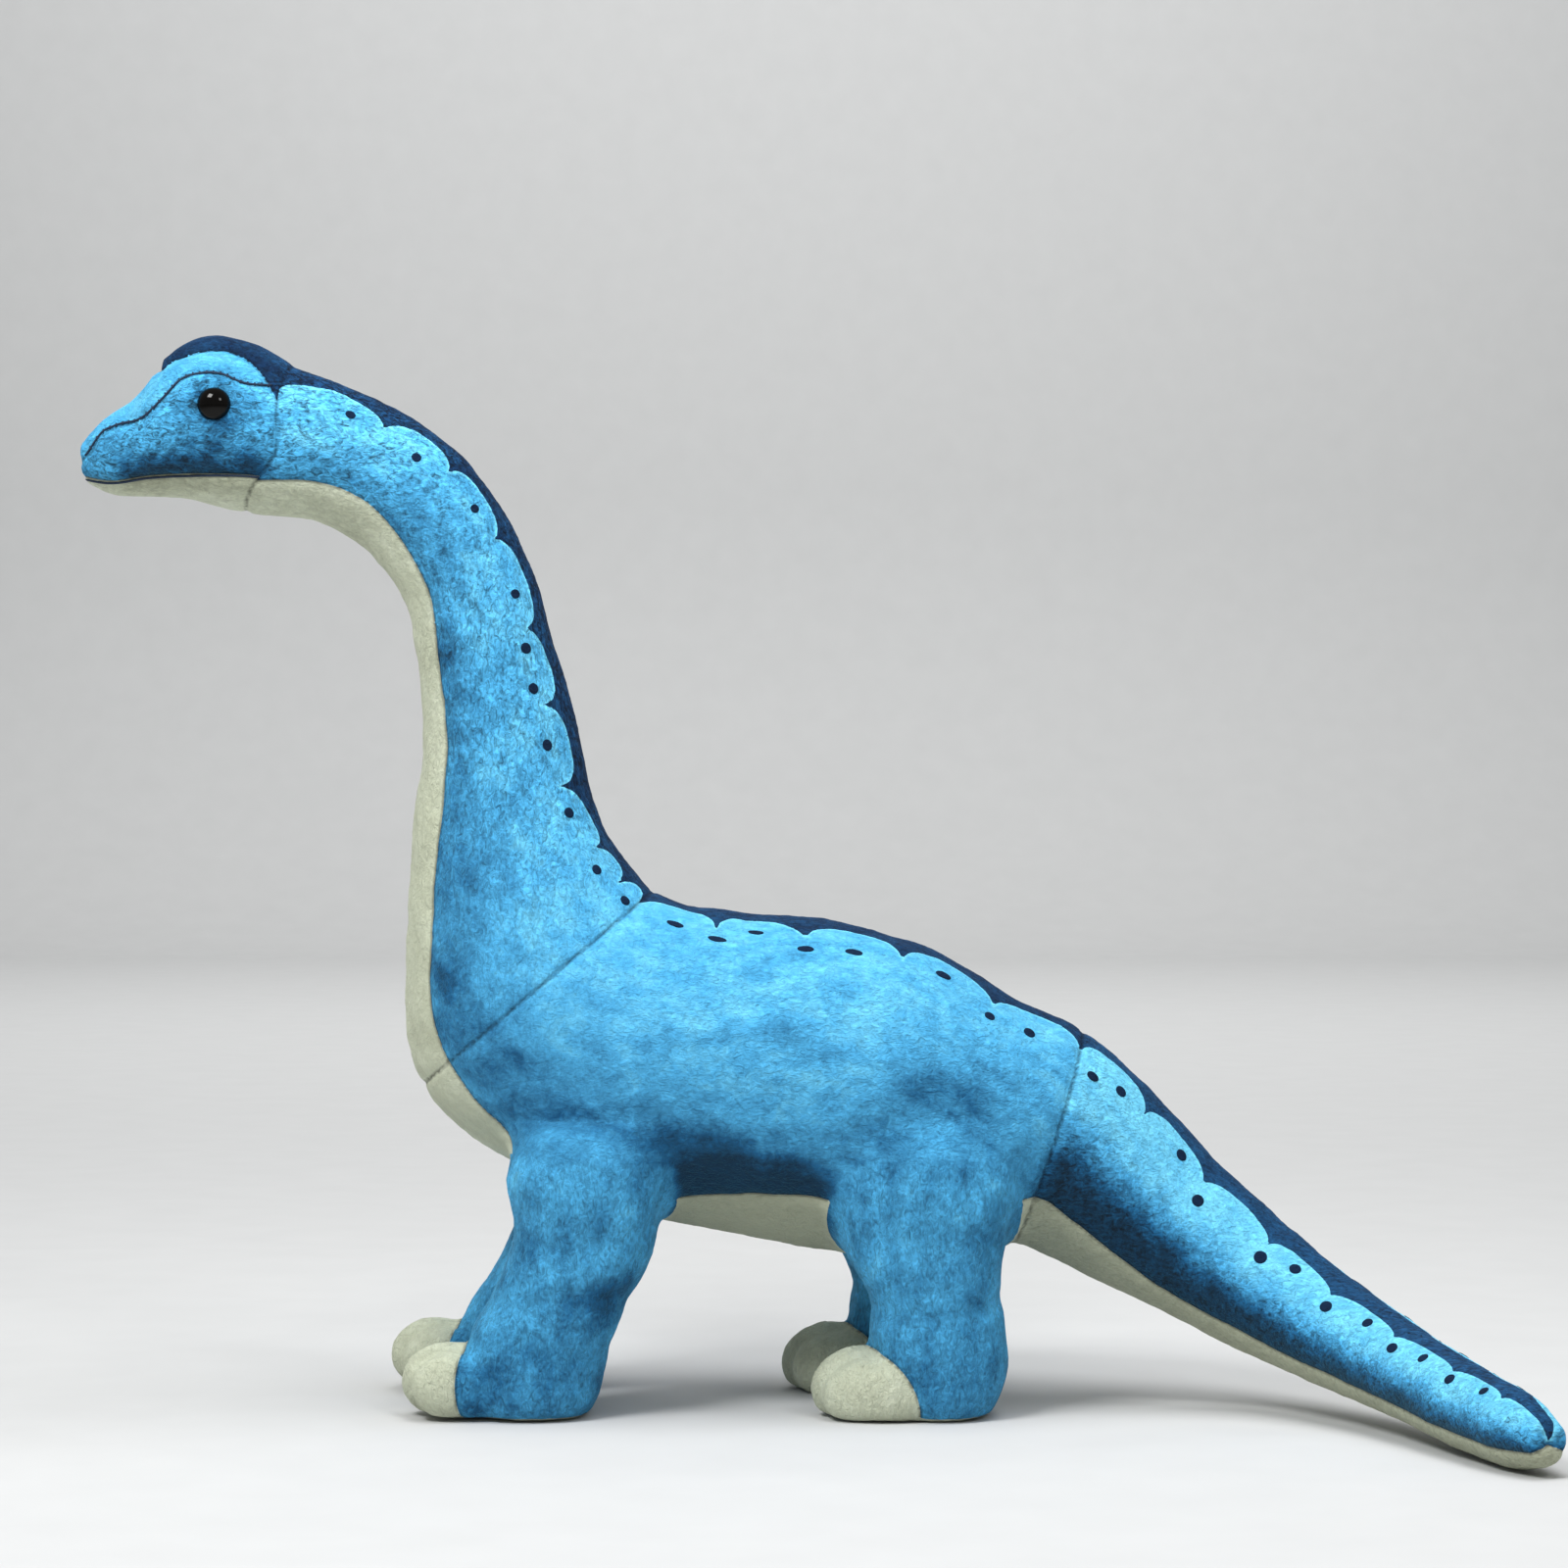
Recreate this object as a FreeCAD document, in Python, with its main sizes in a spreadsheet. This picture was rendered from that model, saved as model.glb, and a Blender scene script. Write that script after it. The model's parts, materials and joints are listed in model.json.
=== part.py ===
import FreeCAD, Part, Sketcher
import os
from math import asin, degrees, radians, sin
from FreeCAD import Placement, Rotation, Vector

# A long-necked plush dinosaur, in millimetres. Head towards -X, tail towards +X and
# curling to -Y, left side on -Y, standing on Z = 0. The body is one lofted form from snout
# to tail tip, cut at its seams, and each leg is a lofted form of its own. Every form is a
# fibre-fill core inside a plush cover, and the cover is cut into its sewn panels.

doc = FreeCAD.newDocument("plush_dinosaur")
sizes = doc.addObject("Spreadsheet::Sheet", "sizes")
axis_y = Vector(0, 1, 0)
axis_z = Vector(0, 0, 1)


# ---------------------------------------------------------------- driving dimensions

def put(alias, value):
    """One named size in the next row of the sheet."""
    put.row += 1
    sizes.set(f"A{put.row}", alias)
    sizes.set(f"B{put.row}", str(value))
    sizes.setAlias(f"B{put.row}", alias)


put.row = 0
general = {
    "origin_shift_x": 0.95,     # moves the middle of the standing toy's box onto the origin
    "origin_shift_y": 55.57,
    "fabric": 2.0,              # plush with its pile
    "back_share": 0.45,         # half width of the dark back strip, as a share of the body's
    "belly_share": 0.65,        # half width of the pale underside, as a share of the body's
    "reach": 420.0,             # size of the cutting blocks, longer than the toy's half
    "gap": 0.5,                 # running gap between stuffed pieces that flex apart
    "knuckle_neck": 32.0,
    "knuckle_head": 20.0,
    "knuckle_tail": 18.0,
    "flex_neck": 10.0,          # degrees each way
    "flex_head": 12.0,
    "flex_tail": 12.0,
    "flex_leg": 10.0,
    "swing_room": 12.0,         # space before and behind a leg for its swing
    "lane_wide": 60.0,
    "leg_middle": 33.0,         # a leg's middle, out from the middle plane
    "right_step": 10.0,         # the right feet stand this much further forward
    "sole_thick": 2.0,
    "leg_rise": 26.0,           # the leg's form goes on this far above its top section
    "leg_narrow": 6.0,          # and is narrower there by this much, each side
    "panel_close": 0.5,         # what is left open where the panels close at the body's ends
    "crest_point": 0.5,         # the crest's width where it starts, as a share of the strip's
    "eye_radius": 6.0,
    "eye_dome": 4.6,
    "eye_stem": 2.4,
    "eye_stem_length": 9.0,
    "washer_radius": 7.5,
    "washer_thick": 1.2,
    "washer_behind": 1.4,       # from the back of the fabric to the washer
    "washer_dish": 0.3,
    "rib_deep": 0.5,
    "rib_high": 0.4,
    "eye_x": -202.0,
    "eye_z": 357.0,
    "eye_seat": 25.0,           # where the eye's flat back meets the cheek, out from the middle
    "brow_angle": 68.0,         # the brow seam, degrees down from the top of the head
    "mouth_angle": 136.0,
}
for name, value in general.items():
    put(name, value)

# Body stations from snout to tail tip: middle x, y, z; tilt of the section from upright
# and turn about Z, in degrees; half depth and half width.
stations = {
    "snout_tip": (-253.0, 0, 338.0, -4, 0, 6.4, 6.6),
    "nostril": (-243.0, 0, 340.6, -3, 0, 13.8, 14),
    "muzzle": (-232.5, 0, 343.8, -2, 0, 17.8, 18),
    "brow": (-224.0, 0, 350.7, 0, 0, 24, 24.9),
    "crest": (-211.3, 0, 354.6, 4, 0, 26, 29.9),
    "poll": (-198.0, 0, 351.2, 9, 0, 26, 29.7),
    "head_seam": (-185.0, 0, 346.5, 17.6, 0, 24.5, 28),
    "nape": (-159.7, 0, 340.1, 23, 0, 23.3, 24.8),
    "neck_bend": (-125.0, 0, 314.3, 39, 0, 23, 24.7),
    "neck_top": (-115.8, 0, 298.5, 56, 0, 22.8, 23.5),
    "neck_high": (-108.4, 0, 274.1, 83, 0, 23.5, 24.5),
    "neck_mid": (-102.2, 0, 241.8, 88, 0, 26, 27.7),
    "neck_low": (-99.9, 0, 211.8, 90, 0, 30, 32.8),
    "neck_root": (-96.5, 0, 181.8, 70.6, 0, 37, 41.4),
    "neck_seam": (-88.6, 0, 149.3, 50, 0, 44, 54.4),
    "breast": (-61.2, 0, 130.1, 29.9, 0, 50, 55.6),
    "chest": (-15.5, 0, 118.3, 1.4, 0, 52, 57.6),
    "waist": (16.9, 0, 113.7, 0.7, 0, 53, 59.3),
    "haunch": (46.8, 0, 106.8, 6.2, 0, 51, 57),
    "rump": (74.8, 0, 98.0, 12, 0, 45, 47.5),
    "tail_seam": (95.0, 0, 95.0, 18.3, 0, 37, 40.5),
    "tail_root": (114.5, -0.5, 81.5, 33.3, -4, 31.5, 35.1),
    "tail_high": (138.0, -4, 63.2, 36.6, -14, 27, 29),
    "tail_mid": (163.0, -14, 46.8, 34, -30, 23, 24.9),
    "tail_low": (184.0, -31, 34.6, 26, -44, 19.5, 21),
    "tail_slim": (203.0, -57, 25.5, 17, -58, 16.5, 17.5),
    "tail_end": (218.0, -90, 19.0, 9, -67, 14.5, 15.2),
    "tail_floor": (230.0, -124, 15.0, 4, -70, 13.3, 13.8),
    "tail_tip": (240.0, -153, 12.6, 2, -70, 11, 11.5),
    "tail_nose": (245.5, -168, 11.2, 0, -70, 6.5, 6.5),
}
fields = ("x", "y", "z", "tilt", "turn", "wide", "deep")
for name, row in stations.items():
    for field, value in zip(fields, row):
        put(f"{name}_{field}", value)

# Leg stations from hip to sole: height, middle x, half length, half width.
legs = {
    "fore": {
        "top": (96, -70, 31, 25),
        "thigh": (71, -70, 26.7, 24),
        "knee": (57, -73.5, 27, 23),
        "shin": (43, -81, 28.8, 22),
        "ankle": (29, -87, 27.6, 22),
        "foot": (15.5, -89.7, 25.2, 22),
        "sole": (2, -90.4, 21.5, 19),
    },
    "hind": {
        "top": (96, 48, 33, 26),
        "thigh": (71, 47.8, 32.6, 25),
        "knee": (57, 47, 29.3, 24),
        "shin": (43, 52.3, 24, 22),
        "ankle": (29, 53.5, 25.5, 22),
        "foot": (15.5, 52.8, 25, 22),
        "sole": (2, 52, 21.5, 19),
    },
}
hips = {
    "fore": {"hip_x": -72, "hip_z": 90, "knuckle": 29},
    "hind": {"hip_x": 48, "hip_z": 88, "knuckle": 31},
}
toes = {
    "fore": {"toe_x": -112, "toe_long": 21.5, "toe_high": 27, "toe_wide": 21},
    "hind": {"toe_x": 34, "toe_long": 25.4, "toe_high": 26, "toe_wide": 21.5},
}
for pair, levels in legs.items():
    for level, row in levels.items():
        for field, value in zip(("z", "x", "long", "wide"), row):
            put(f"{pair}_{level}_{field}", value)
    for name, value in {**hips[pair], **toes[pair]}.items():
        put(f"{pair}_{name}", value)
doc.recompute()


def size(alias):
    return float(sizes.get(alias))


def bind(part, **rules):
    """Ties properties of an object to cells of the sheet; PlacementBase_x stands for a place."""
    for path, rule in rules.items():
        part.setExpression(path.replace("Base_", "Placement.Base."), rule)
    return part


# ---------------------------------------------------------------- building blocks

def cut(name, base, tool):
    part = doc.addObject("Part::Cut", name)
    part.Base, part.Tool = base, tool
    return part


def common(name, base, tool):
    part = doc.addObject("Part::Common", name)
    part.Base, part.Tool = base, tool
    return part


def fuse(name, *shapes):
    part = doc.addObject("Part::MultiFuse", name)
    part.Shapes = list(shapes)
    return part


def loft(name, sections):
    part = doc.addObject("Part::Loft", name)
    part.Sections = sections
    part.Solid = True
    part.MaxDegree = 3
    return part


def block(name, point, turn, axis=axis_y):
    """A block that fills the half space on the +X side of a plane through a point."""
    part = bind(
        doc.addObject("Part::Box", name),
        Length="sizes.reach",
        Width="2 * sizes.reach",
        Height="2 * sizes.reach",
    )
    rotation = Rotation(axis, turn)
    corner = rotation.multVec(Vector(0, -size("reach"), -size("reach")))
    part.Placement = Placement(point + corner, rotation)
    return part


def rod(name, point, radius, axis=axis_y):
    """A long round bar through a point, along Y or Z."""
    part = bind(doc.addObject("Part::Cylinder", name), Radius=radius, Height="2 * sizes.reach")
    rotation = Rotation(axis_z, axis)
    part.Placement = Placement(point - axis * size("reach"), rotation)
    return part


# ---------------------------------------------------------------- the body's lofted forms

def station_place(name):
    """Where a body section lies: its local X runs to the back, its local Y sideways."""
    x, y, z, tilt, turn = (size(f"{name}_{field}") for field in fields[:5])
    rotation = Rotation(axis_z, turn) * Rotation(axis_y, tilt - 90)
    return Placement(Vector(x, y, z), rotation)


def core_section(name, tag):
    """The elliptical section of the fibre fill at one station, inside the fabric."""
    part = bind(
        doc.addObject("Part::Ellipse", f"{tag}_core_{name}"),
        MajorRadius=f"sizes.{name}_deep - sizes.fabric",
        MinorRadius=f"sizes.{name}_wide - sizes.fabric",
    )
    part.Placement = station_place(name)
    return part


def panel_section(name, tag, start, end):
    """A strip of fabric across one station, between two angles down from the back."""
    deep, wide = size(f"{name}_deep"), size(f"{name}_wide")
    closed = name in (names[0], names[-1])
    inset = wide - size("panel_close") if closed else size("fabric")
    outside = Part.Ellipse(Vector(), deep, wide)
    inside = Part.Ellipse(Vector(), deep - inset, wide - inset)
    start, end = radians(start), radians(end)
    outside_arc = Part.ArcOfEllipse(outside, start, end).toShape()
    inside_arc = Part.ArcOfEllipse(inside, start, end).toShape()
    edges = [
        outside_arc,
        Part.makeLine(outside.value(end), inside.value(end)),
        inside_arc,
        Part.makeLine(inside.value(start), outside.value(start)),
    ]
    part = doc.addObject("Part::Feature", f"{tag}_{name}")
    part.Shape = Part.Wire(edges)
    part.Placement = station_place(name)
    return part


def panel(tag, used, start, end):
    """One sewn panel's whole length; each edge is an angle or a rule that gives one."""
    sections = []
    for name in used:
        low = start(name) if callable(start) else start
        high = end(name) if callable(end) else end
        sections.append(panel_section(name, tag, low, high))
    return loft(f"{tag}_panel_form", sections)


names = list(stations)


def run(first, last):
    return names[names.index(first): names.index(last) + 1]


head_run = run("snout_tip", "nape")
crest_run = run("brow", "nape")
body_runs = {
    "neck": run("poll", "chest"),
    "torso": run("neck_root", "tail_root"),
    "tail": run("rump", "tail_nose"),
}
back = degrees(asin(size("back_share")))
belly = 180 - degrees(asin(size("belly_share")))
brow = size("brow_angle")
mouth = size("mouth_angle")


def crest_edge(name):
    """The crest opens from a point between the eyes to the back strip's full width."""
    if name not in crest_run:
        return 0
    return size("crest_point") * back if name == crest_run[0] else back


def core_form(tag, used):
    """The fibre fill, which stops short of a closed fabric end."""
    held = [name for name in used if name not in (names[0], names[-1])]
    return loft(f"{tag}_core_form", [core_section(name, tag) for name in held])


forms = {"head_core": core_form("head", head_run)}
for body, used in body_runs.items():
    forms[f"{body}_core"] = core_form(body, used)
    forms[f"{body}_back"] = panel(f"{body}_back", used, -back, back)
    forms[f"{body}_left"] = panel(f"{body}_left", used, -belly, -back)
    forms[f"{body}_right"] = panel(f"{body}_right", used, back, belly)
    forms[f"{body}_under"] = panel(f"{body}_under", used, belly, 360 - belly)
head_panels = {
    "crest_panel": (crest_run, lambda name: -crest_edge(name), crest_edge),
    "brow_panel_left": (head_run, -brow, lambda name: -crest_edge(name)),
    "brow_panel_right": (head_run, crest_edge, brow),
    "cheek_left": (head_run, -mouth, -brow),
    "cheek_right": (head_run, brow, mouth),
    "jaw_panel": (head_run, mouth, 360 - mouth),
}
for label, (used, start, end) in head_panels.items():
    forms[label] = panel(label, used, start, end)
doc.recompute()


# ---------------------------------------------------------------- flex joints along the body

def hinge(name, station, knuckle, flex, turn, axis):
    """The child's zone (half space and knuckle) and the zone that it sweeps as it flexes."""
    point = Vector(*(size(f"{station}_{field}") for field in "xyz"))
    zone = fuse(
        f"{name}_zone",
        block(f"{name}_side", point, turn, axis),
        rod(f"{name}_knuckle", point, f"sizes.{knuckle}", axis),
    )
    spread = size(flex) + 0.5
    swept = fuse(
        f"{name}_swept",
        block(f"{name}_side_up", point, turn + spread, axis),
        block(f"{name}_side_down", point, turn - spread, axis),
        rod(f"{name}_socket", point, f"sizes.{knuckle} + sizes.gap", axis),
    )
    return zone, swept


head_zone, head_swept = hinge(
    "head", "head_seam", "knuckle_head", "flex_head", 180 + size("head_seam_tilt"), axis_y
)
neck_zone, neck_swept = hinge(
    "neck", "neck_seam", "knuckle_neck", "flex_neck", 180 + size("neck_seam_tilt"), axis_y
)
tail_zone, tail_swept = hinge("tail", "tail_seam", "knuckle_tail", "flex_tail", 0, axis_z)


def hip_tools(pair, side):
    """The pocket that a leg's round top and swing need in the torso."""
    sign = -1 if side == "left" else 1
    point = Vector(size(f"{pair}_hip_x"), 0, size(f"{pair}_hip_z"))
    socket = rod(f"{pair}_{side}_socket", point, f"sizes.{pair}_knuckle + sizes.gap")
    half = size(f"{pair}_top_long")
    rise = half * sin(radians(size("flex_leg"))) + 1
    inner_face = size("leg_middle") - size(f"{pair}_top_wide") - size("gap")
    low_y = inner_face if sign > 0 else -inner_face - size("lane_wide")
    lane = bind(
        doc.addObject("Part::Box", f"{pair}_{side}_lane"),
        Length=f"2 * (sizes.{pair}_top_long + sizes.swing_room)",
        Width="sizes.lane_wide",
        Height=f"sizes.{pair}_hip_z + {rise}",
    )
    lane.Placement.Base = Vector(point.x - half - size("swing_room"), low_y, 0)
    depth = bind(
        doc.addObject("Part::Box", f"{pair}_{side}_depth"),
        Length=f"2 * (sizes.{pair}_top_long + sizes.swing_room)",
        Width="sizes.lane_wide",
        Height="sizes.reach",
    )
    depth.Placement = lane.Placement
    held = common(f"{pair}_{side}_socket_held", socket, depth)
    return fuse(f"{pair}_{side}_pocket", lane, held)


pairs = ("fore", "hind")
sides = ("left", "right")
pockets = [hip_tools(pair, side) for pair in pairs for side in sides]
torso_relief = fuse("torso_relief", neck_swept, tail_swept, *pockets)
doc.recompute()

# ---------------------------------------------------------------- sub-parts of the body

nodes = []


def node(part, label):
    """Marks an object as one piece of the toy, and puts it in the toy's own frame."""
    part.Label = label
    shift = Vector(size("origin_shift_x"), size("origin_shift_y"), 0)
    part.Placement = Placement(shift, Rotation()) * part.Placement
    nodes.append(part)
    return part


def neck_piece(form, label):
    held = common(f"{label}_whole", forms[form], neck_zone)
    node(cut(label, held, head_swept), label)


def torso_piece(form, label):
    node(cut(label, forms[form], torso_relief), label)


def tail_piece(form, label):
    node(common(label, forms[form], tail_zone), label)


neck_piece("neck_core", "neck_stuffing")
neck_piece("neck_back", "neck_back_strip")
neck_piece("neck_under", "throat_panel")
neck_piece("neck_left", "neck_side_left")
neck_piece("neck_right", "neck_side_right")
torso_piece("torso_core", "torso_stuffing")
torso_piece("torso_back", "torso_back_strip")
torso_piece("torso_under", "belly_panel")
torso_piece("torso_left", "flank_left")
torso_piece("torso_right", "flank_right")
tail_piece("tail_core", "tail_stuffing")
tail_piece("tail_back", "tail_back_strip")
tail_piece("tail_under", "tail_underside")
tail_piece("tail_left", "tail_side_left")
tail_piece("tail_right", "tail_side_right")
doc.recompute()

# ---------------------------------------------------------------- head

eye_point = Vector(size("eye_x"), 0, size("eye_z"))
eye_hole = rod("eye_hole", eye_point, "sizes.eye_stem")
eye_room = rod("eye_room", eye_point, "sizes.washer_radius + sizes.gap")
eye_room.setExpression("Height", "2 * sizes.eye_seat + 4")
eye_room.Placement.Base.y = -size("eye_seat") - 2
eye_keep = bind(
    doc.addObject("Part::Box", "eye_keep"),
    Length="40",
    Width="2 * (sizes.eye_seat - sizes.eye_stem_length - 1)",
    Height="40",
)
eye_keep.Placement.Base = Vector(
    eye_point.x - 20, -size("eye_seat") + size("eye_stem_length") + 1, eye_point.z - 20
)
eye_pockets = cut("eye_pockets", eye_room, eye_keep)

head_core = common("head_core", forms["head_core"], head_zone)
node(cut("head_stuffing", head_core, eye_pockets), "head_stuffing")
for label in head_panels:
    held = common(f"{label}_held", forms[label], head_zone)
    if label.startswith("cheek"):
        held = cut(f"{label}_pierced", held, eye_hole)
    node(held, label)


def plane_of(body, role):
    return next(item for item in body.Origin.OriginFeatures if item.Role == role)


def turned_piece(label, points, side):
    """A round plastic piece, revolved about its own Z, set in a cheek with Z facing out."""
    body = doc.addObject("PartDesign::Body", label)
    sketch = body.newObject("Sketcher::SketchObject", f"{label}_sketch")
    sketch.AttachmentSupport = (plane_of(body, "XZ_Plane"), [""])
    sketch.MapMode = "FlatFace"
    for start, end in zip(points, points[1:] + points[:1]):
        sketch.addGeometry(Part.LineSegment(Vector(*start, 0), Vector(*end, 0)), False)
    count = len(points)
    for index in range(count):
        follower = (index + 1) % count
        sketch.addConstraint(Sketcher.Constraint("Coincident", index, 2, follower, 1))
    doc.recompute()
    turned = body.newObject("PartDesign::Revolution", f"{label}_turned")
    turned.Profile = sketch
    turned.ReferenceAxis = (sketch, ["V_Axis"])
    turned.Angle = 360
    sign = -1 if side == "left" else 1
    body.Placement = Placement(
        Vector(size("eye_x"), sign * size("eye_seat"), size("eye_z")),
        Rotation(Vector(1, 0, 0), -90 * sign),
    )
    node(body, label)


def eye(side):
    """A domed safety eye on a ribbed stem."""
    radius, dome, stem = size("eye_radius"), size("eye_dome"), size("eye_stem")
    length = size("eye_stem_length")
    outline = [(0, dome), (0.45 * radius, 0.93 * dome), (0.8 * radius, 0.65 * dome)]
    outline += [(radius, 0.15 * dome), (radius, 0), (stem, 0)]
    ribs = 3
    pitch = length / (ribs + 1)
    for rib in range(1, ribs + 1):
        groove = (stem - size("rib_deep"), -rib * pitch - size("rib_high"))
        outline += [(stem, -rib * pitch), groove]
    outline += [(stem - 1.5 * size("rib_deep"), -length), (0, -length)]
    turned_piece(f"eye_{side}", outline, side)


def washer(side):
    """The toothed washer pressed over the stem behind the fabric, here a plain dished ring."""
    outer_r, thick, hole = size("washer_radius"), size("washer_thick"), size("eye_stem")
    behind = -size("fabric") - size("washer_behind")
    rim = behind + size("washer_dish")
    outline = [(hole, behind), (outer_r, rim), (outer_r, rim - thick)]
    outline += [(hole, behind - thick)]
    turned_piece(f"eye_washer_{side}", outline, side)


for side in sides:
    eye(side)
    washer(side)
doc.recompute()

# ---------------------------------------------------------------- legs


def leg_level(pair, side, level, tag, inset):
    """One horizontal elliptical section of a leg; the right leg leans forward to its foot."""
    key = f"{pair}_{level}"
    part = doc.addObject("Part::Ellipse", f"{tag}_{side}_{key}")
    less = f" - {inset}" if inset else ""
    bind(
        part,
        MajorRadius=f"sizes.{key}_long{less}",
        MinorRadius=f"sizes.{key}_wide{less}",
    )
    sign = -1 if side == "left" else 1
    drop = 1 - size(f"{key}_z") / size(f"{pair}_hip_z")
    step = size("right_step") * max(drop, 0) if side == "right" else 0
    part.Placement.Base = Vector(
        size(f"{key}_x") - step, sign * size("leg_middle"), size(f"{key}_z")
    )
    return part


def leg_end(pair, below, less):
    """The section that a leg's form starts from, inside the torso above its top level."""
    part = bind(
        doc.addObject("Part::Ellipse", f"{below.Name}_end"),
        MajorRadius=f"sizes.{pair}_top_long{less}",
        MinorRadius=f"sizes.{pair}_top_wide - sizes.leg_narrow{less}",
    )
    part.Placement = below.Placement
    part.Placement.Base.z += size("leg_rise")
    return part


def leg(pair, side):
    levels = list(legs[pair])
    tag = f"{pair}_{side}"
    point = Vector(size(f"{pair}_hip_x"), 0, size(f"{pair}_hip_z"))
    zone = fuse(
        f"{tag}_zone",
        block(f"{tag}_below", point, 90),
        rod(f"{tag}_knuckle", point, f"sizes.{pair}_knuckle"),
    )
    skin = [leg_level(pair, side, level, "leg_skin", "") for level in levels]
    fill = [leg_level(pair, side, level, "leg_fill", "sizes.fabric") for level in levels]
    skin_form = loft(f"{tag}_skin_form", [leg_end(pair, skin[0], "")] + skin)
    fill_form = loft(f"{tag}_fill_form", [leg_end(pair, fill[0], " - sizes.fabric")] + fill)
    whole = common(f"{tag}_leg_whole", skin_form, zone)
    node(common(f"{tag}_leg_stuffing", fill_form, zone), f"{tag}_leg_stuffing")
    node(cut(f"{tag}_leg_cover", whole, fill_form), f"{tag}_leg_cover")

    disc = doc.addObject("Part::Extrusion", f"{tag}_disc")
    disc.Base = skin[-1]
    disc.DirMode = "Custom"
    disc.Dir = Vector(0, 0, -1)
    disc.setExpression("LengthFwd", "sizes.sole_thick")
    disc.Solid = True
    node(cut(f"{tag}_sole", disc, fill_form), f"{tag}_sole")

    toe = bind(
        doc.addObject("Part::Ellipsoid", f"{tag}_toe_form"),
        Radius1=f"sizes.{pair}_toe_high",
        Radius2=f"sizes.{pair}_toe_long",
        Radius3=f"sizes.{pair}_toe_wide",
    )
    sign = -1 if side == "left" else 1
    step = size("right_step") if side == "right" else 0
    toe.Placement.Base = Vector(size(f"{pair}_toe_x") - step, sign * size("leg_middle"), 0)
    floor = block(f"{tag}_floor", Vector(), 90)
    toe_above = cut(f"{tag}_toe_above", toe, floor)
    foot = fuse(f"{tag}_foot", skin_form, disc)
    return toe_above, foot, tag


toe_jobs = [leg(pair, side) for pair in pairs for side in sides]
doc.recompute()
for toe_above, foot, tag in toe_jobs:
    node(cut(f"{tag}_toe_cap", toe_above, foot), f"{tag}_toe_cap")
doc.recompute()

# ---------------------------------------------------------------- checks and files

for part in doc.Objects:
    if "Invalid" in part.State or "Error" in part.State:
        raise RuntimeError(f"{part.Name} failed: {part.State}")
for part in nodes:
    if part.Shape.isNull() or not part.Shape.isValid():
        raise RuntimeError(f"{part.Label} has no valid shape")

os.makedirs("parts", exist_ok=True)
for part in nodes:
    part.Shape.exportStep(f"parts/{part.Label}.step")
print(len(nodes), "pieces")
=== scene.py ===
import json
import math

import bpy
import numpy as np
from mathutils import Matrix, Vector, noise
from mathutils.bvhtree import BVHTree


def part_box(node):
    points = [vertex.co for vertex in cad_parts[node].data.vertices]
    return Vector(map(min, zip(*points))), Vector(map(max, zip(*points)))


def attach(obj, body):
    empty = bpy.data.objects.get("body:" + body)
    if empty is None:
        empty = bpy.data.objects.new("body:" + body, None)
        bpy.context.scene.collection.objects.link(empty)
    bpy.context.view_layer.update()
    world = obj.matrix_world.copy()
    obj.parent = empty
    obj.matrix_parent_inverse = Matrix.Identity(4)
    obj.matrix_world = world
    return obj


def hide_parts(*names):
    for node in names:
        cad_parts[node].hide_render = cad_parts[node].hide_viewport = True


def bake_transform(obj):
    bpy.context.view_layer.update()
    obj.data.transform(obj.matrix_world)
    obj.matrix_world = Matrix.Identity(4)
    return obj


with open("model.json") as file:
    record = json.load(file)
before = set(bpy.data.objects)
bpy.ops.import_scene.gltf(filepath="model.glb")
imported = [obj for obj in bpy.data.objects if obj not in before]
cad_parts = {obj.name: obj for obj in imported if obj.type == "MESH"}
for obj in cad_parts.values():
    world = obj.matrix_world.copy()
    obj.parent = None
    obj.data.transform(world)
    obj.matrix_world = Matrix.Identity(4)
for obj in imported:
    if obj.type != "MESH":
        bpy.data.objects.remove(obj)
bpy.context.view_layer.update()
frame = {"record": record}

# ---------------------------------------------------------------- fibre filling
# Loose polyester fibre, pushed by hand into the head, neck, body, tail and legs. It gives the
# toy its form, so the run of round sections from snout to tail tip and the four leg columns
# are set out here, in millimetres, and every cover below is sewn to the same form.

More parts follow.
